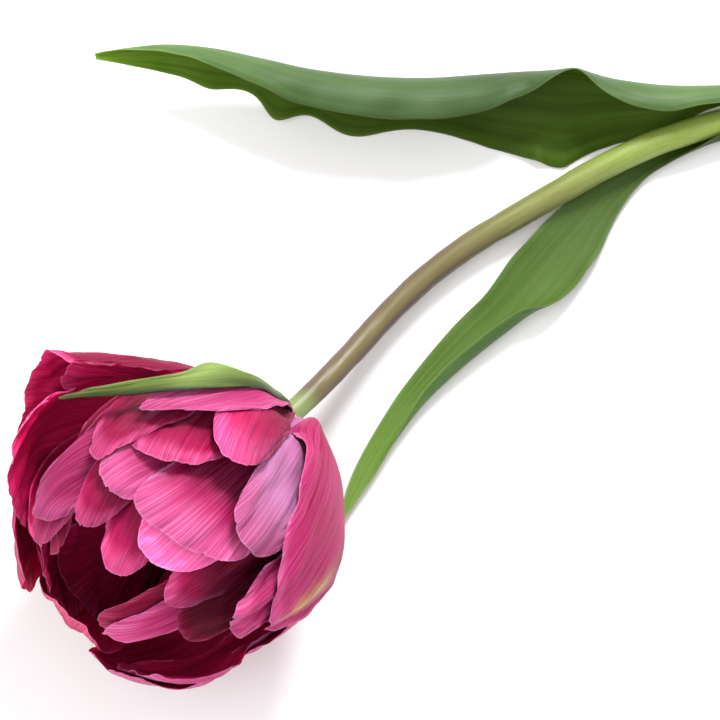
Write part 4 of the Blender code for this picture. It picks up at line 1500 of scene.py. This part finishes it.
class Heart:
    """The receptacle, pistil and stamens, which keep their solids and get their finishes."""

    FINISHES = {
        "receptacle": GrainFinish("receptacle flesh", (0.33, 0.45, 0.12), (0.45, 0.55, 0.2)),
        "pistil": GrainFinish("pistil flesh", (0.42, 0.48, 0.12), (0.6, 0.6, 0.25)),
    }
    ANTHER = GrainFinish("anther pollen", (0.04, 0.015, 0.045), (0.16, 0.07, 0.11))

    def dress(self, wardrobe: Wardrobe) -> None:
        """Gives each solid of the heart its finish.

        Args:
            wardrobe: where the finishes come from.
        """
        for name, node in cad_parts.items():
            finish = self.ANTHER if name.startswith("stamen_") else self.FINISHES.get(name)
            if finish:
                node.data.materials.clear()
                node.data.materials.append(wardrobe.get(finish))
        LOG.info("heart dressed")


# ---- studio
@dataclass(frozen=True)
class Lamp:
    """A round soft light that looks at the flower."""

    name: str
    place: Triple
    width: float
    power: float
    aim: Triple = (0.0, 0.0, 0.02)

    def build(self) -> None:
        """Adds the light."""
        data = bpy.data.lights.new(self.name, "AREA")
        data.shape = "DISK"
        data.size = self.width
        data.energy = self.power
        made = bpy.data.objects.new(self.name, data)
        bpy.context.scene.collection.objects.link(made)
        made.location = self.place
        way = Vector(self.aim) - Vector(self.place)
        made.rotation_euler = way.to_track_quat("-Z", "Y").to_euler()


@dataclass
class Studio:
    """Floor, soft light and camera."""

    blossom: BlossomFrame
    elevation: float = math.radians(80.0)
    distance: float = 1200.0
    lens: float = 228.0
    sensor: float = 36.0
    aim_height: float = 48.31
    floor_half: float = 2.0
    lamps: tuple[Lamp, ...] = (
        Lamp("key", (0.22, 0.82, 0.74), 0.4, 16.0),
        Lamp("fill", (-0.5, -0.3, 1.0), 1.0, 5.6),
    )
    sky: float = 0.78

    def build(self) -> None:
        """Makes the floor, lights, sky and camera."""
        self.floor()
        for lamp in self.lamps:
            lamp.build()
        world = bpy.data.worlds.new("sky")
        bpy.context.scene.world = world
        world.use_nodes = True
        background = world.node_tree.nodes["Background"]
        background.inputs["Color"].default_value = (1, 1, 1, 1)
        background.inputs["Strength"].default_value = self.sky
        bpy.context.scene.view_settings.view_transform = "Standard"
        self.camera()
        LOG.info("studio ready")

    def floor(self) -> None:
        """A plain pale floor."""
        bpy.ops.object.select_all(action="DESELECT")
        bpy.ops.mesh.primitive_plane_add(size=2 * self.floor_half, location=(0, 0, 0))
        made = bpy.context.object
        made.name = "floor"
        shader = Shader("floor paper")
        shader.set(base_color=(0.96, 0.96, 0.96), roughness=0.9, specular_ior_level=0.0)
        made.data.materials.append(shader.material)

    def camera(self) -> None:
        """The camera, above the flower and a little in front of it."""
        towards = np.array([0.0, -math.cos(self.elevation), math.sin(self.elevation)])
        aim = np.array([0.0, 0.0, self.aim_height]) + self.blossom.shift
        data = bpy.data.cameras.new("camera")
        data.sensor_width = self.sensor
        data.lens = self.lens
        data.clip_start = 0.05
        made = bpy.data.objects.new("camera", data)
        bpy.context.scene.collection.objects.link(made)
        made.location = Vector((aim + self.distance * towards) * MM)
        made.rotation_euler = (math.pi / 2 - self.elevation, 0.0, 0.0)
        bpy.context.scene.camera = made


def main() -> None:
    """Builds every piece, then the studio."""
    logging.basicConfig(level=logging.INFO, format="%(name)s %(message)s")
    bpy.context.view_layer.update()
    wardrobe = Wardrobe()
    blossom = BlossomFrame.from_solids()
    Blossom(PETALS, blossom).build(wardrobe)
    upper = LongLeaf("upper_leaf", UPPER_LEAF, blossom.shift, lobes=UPPER_LEAF_LOBES,
                     tones_and_shade=(0.9, -0.35, 1.0))
    upper.build(wardrobe, Greens.OUTSIDE, Greens.INSIDE)
    # The lower leaf's darker foot is painted shadow of the stalk.
    lower = LongLeaf("lower_leaf", LOWER_LEAF, blossom.shift, tones_and_shade=(-0.5, -0.15, 1.0))
    lower.build(wardrobe, Greens.OUTSIDE, Greens.FRESH)
    Stalk(blossom).build(wardrobe)
    Heart().dress(wardrobe)
    Studio(blossom).build()


if __name__ == "__main__":
    main()
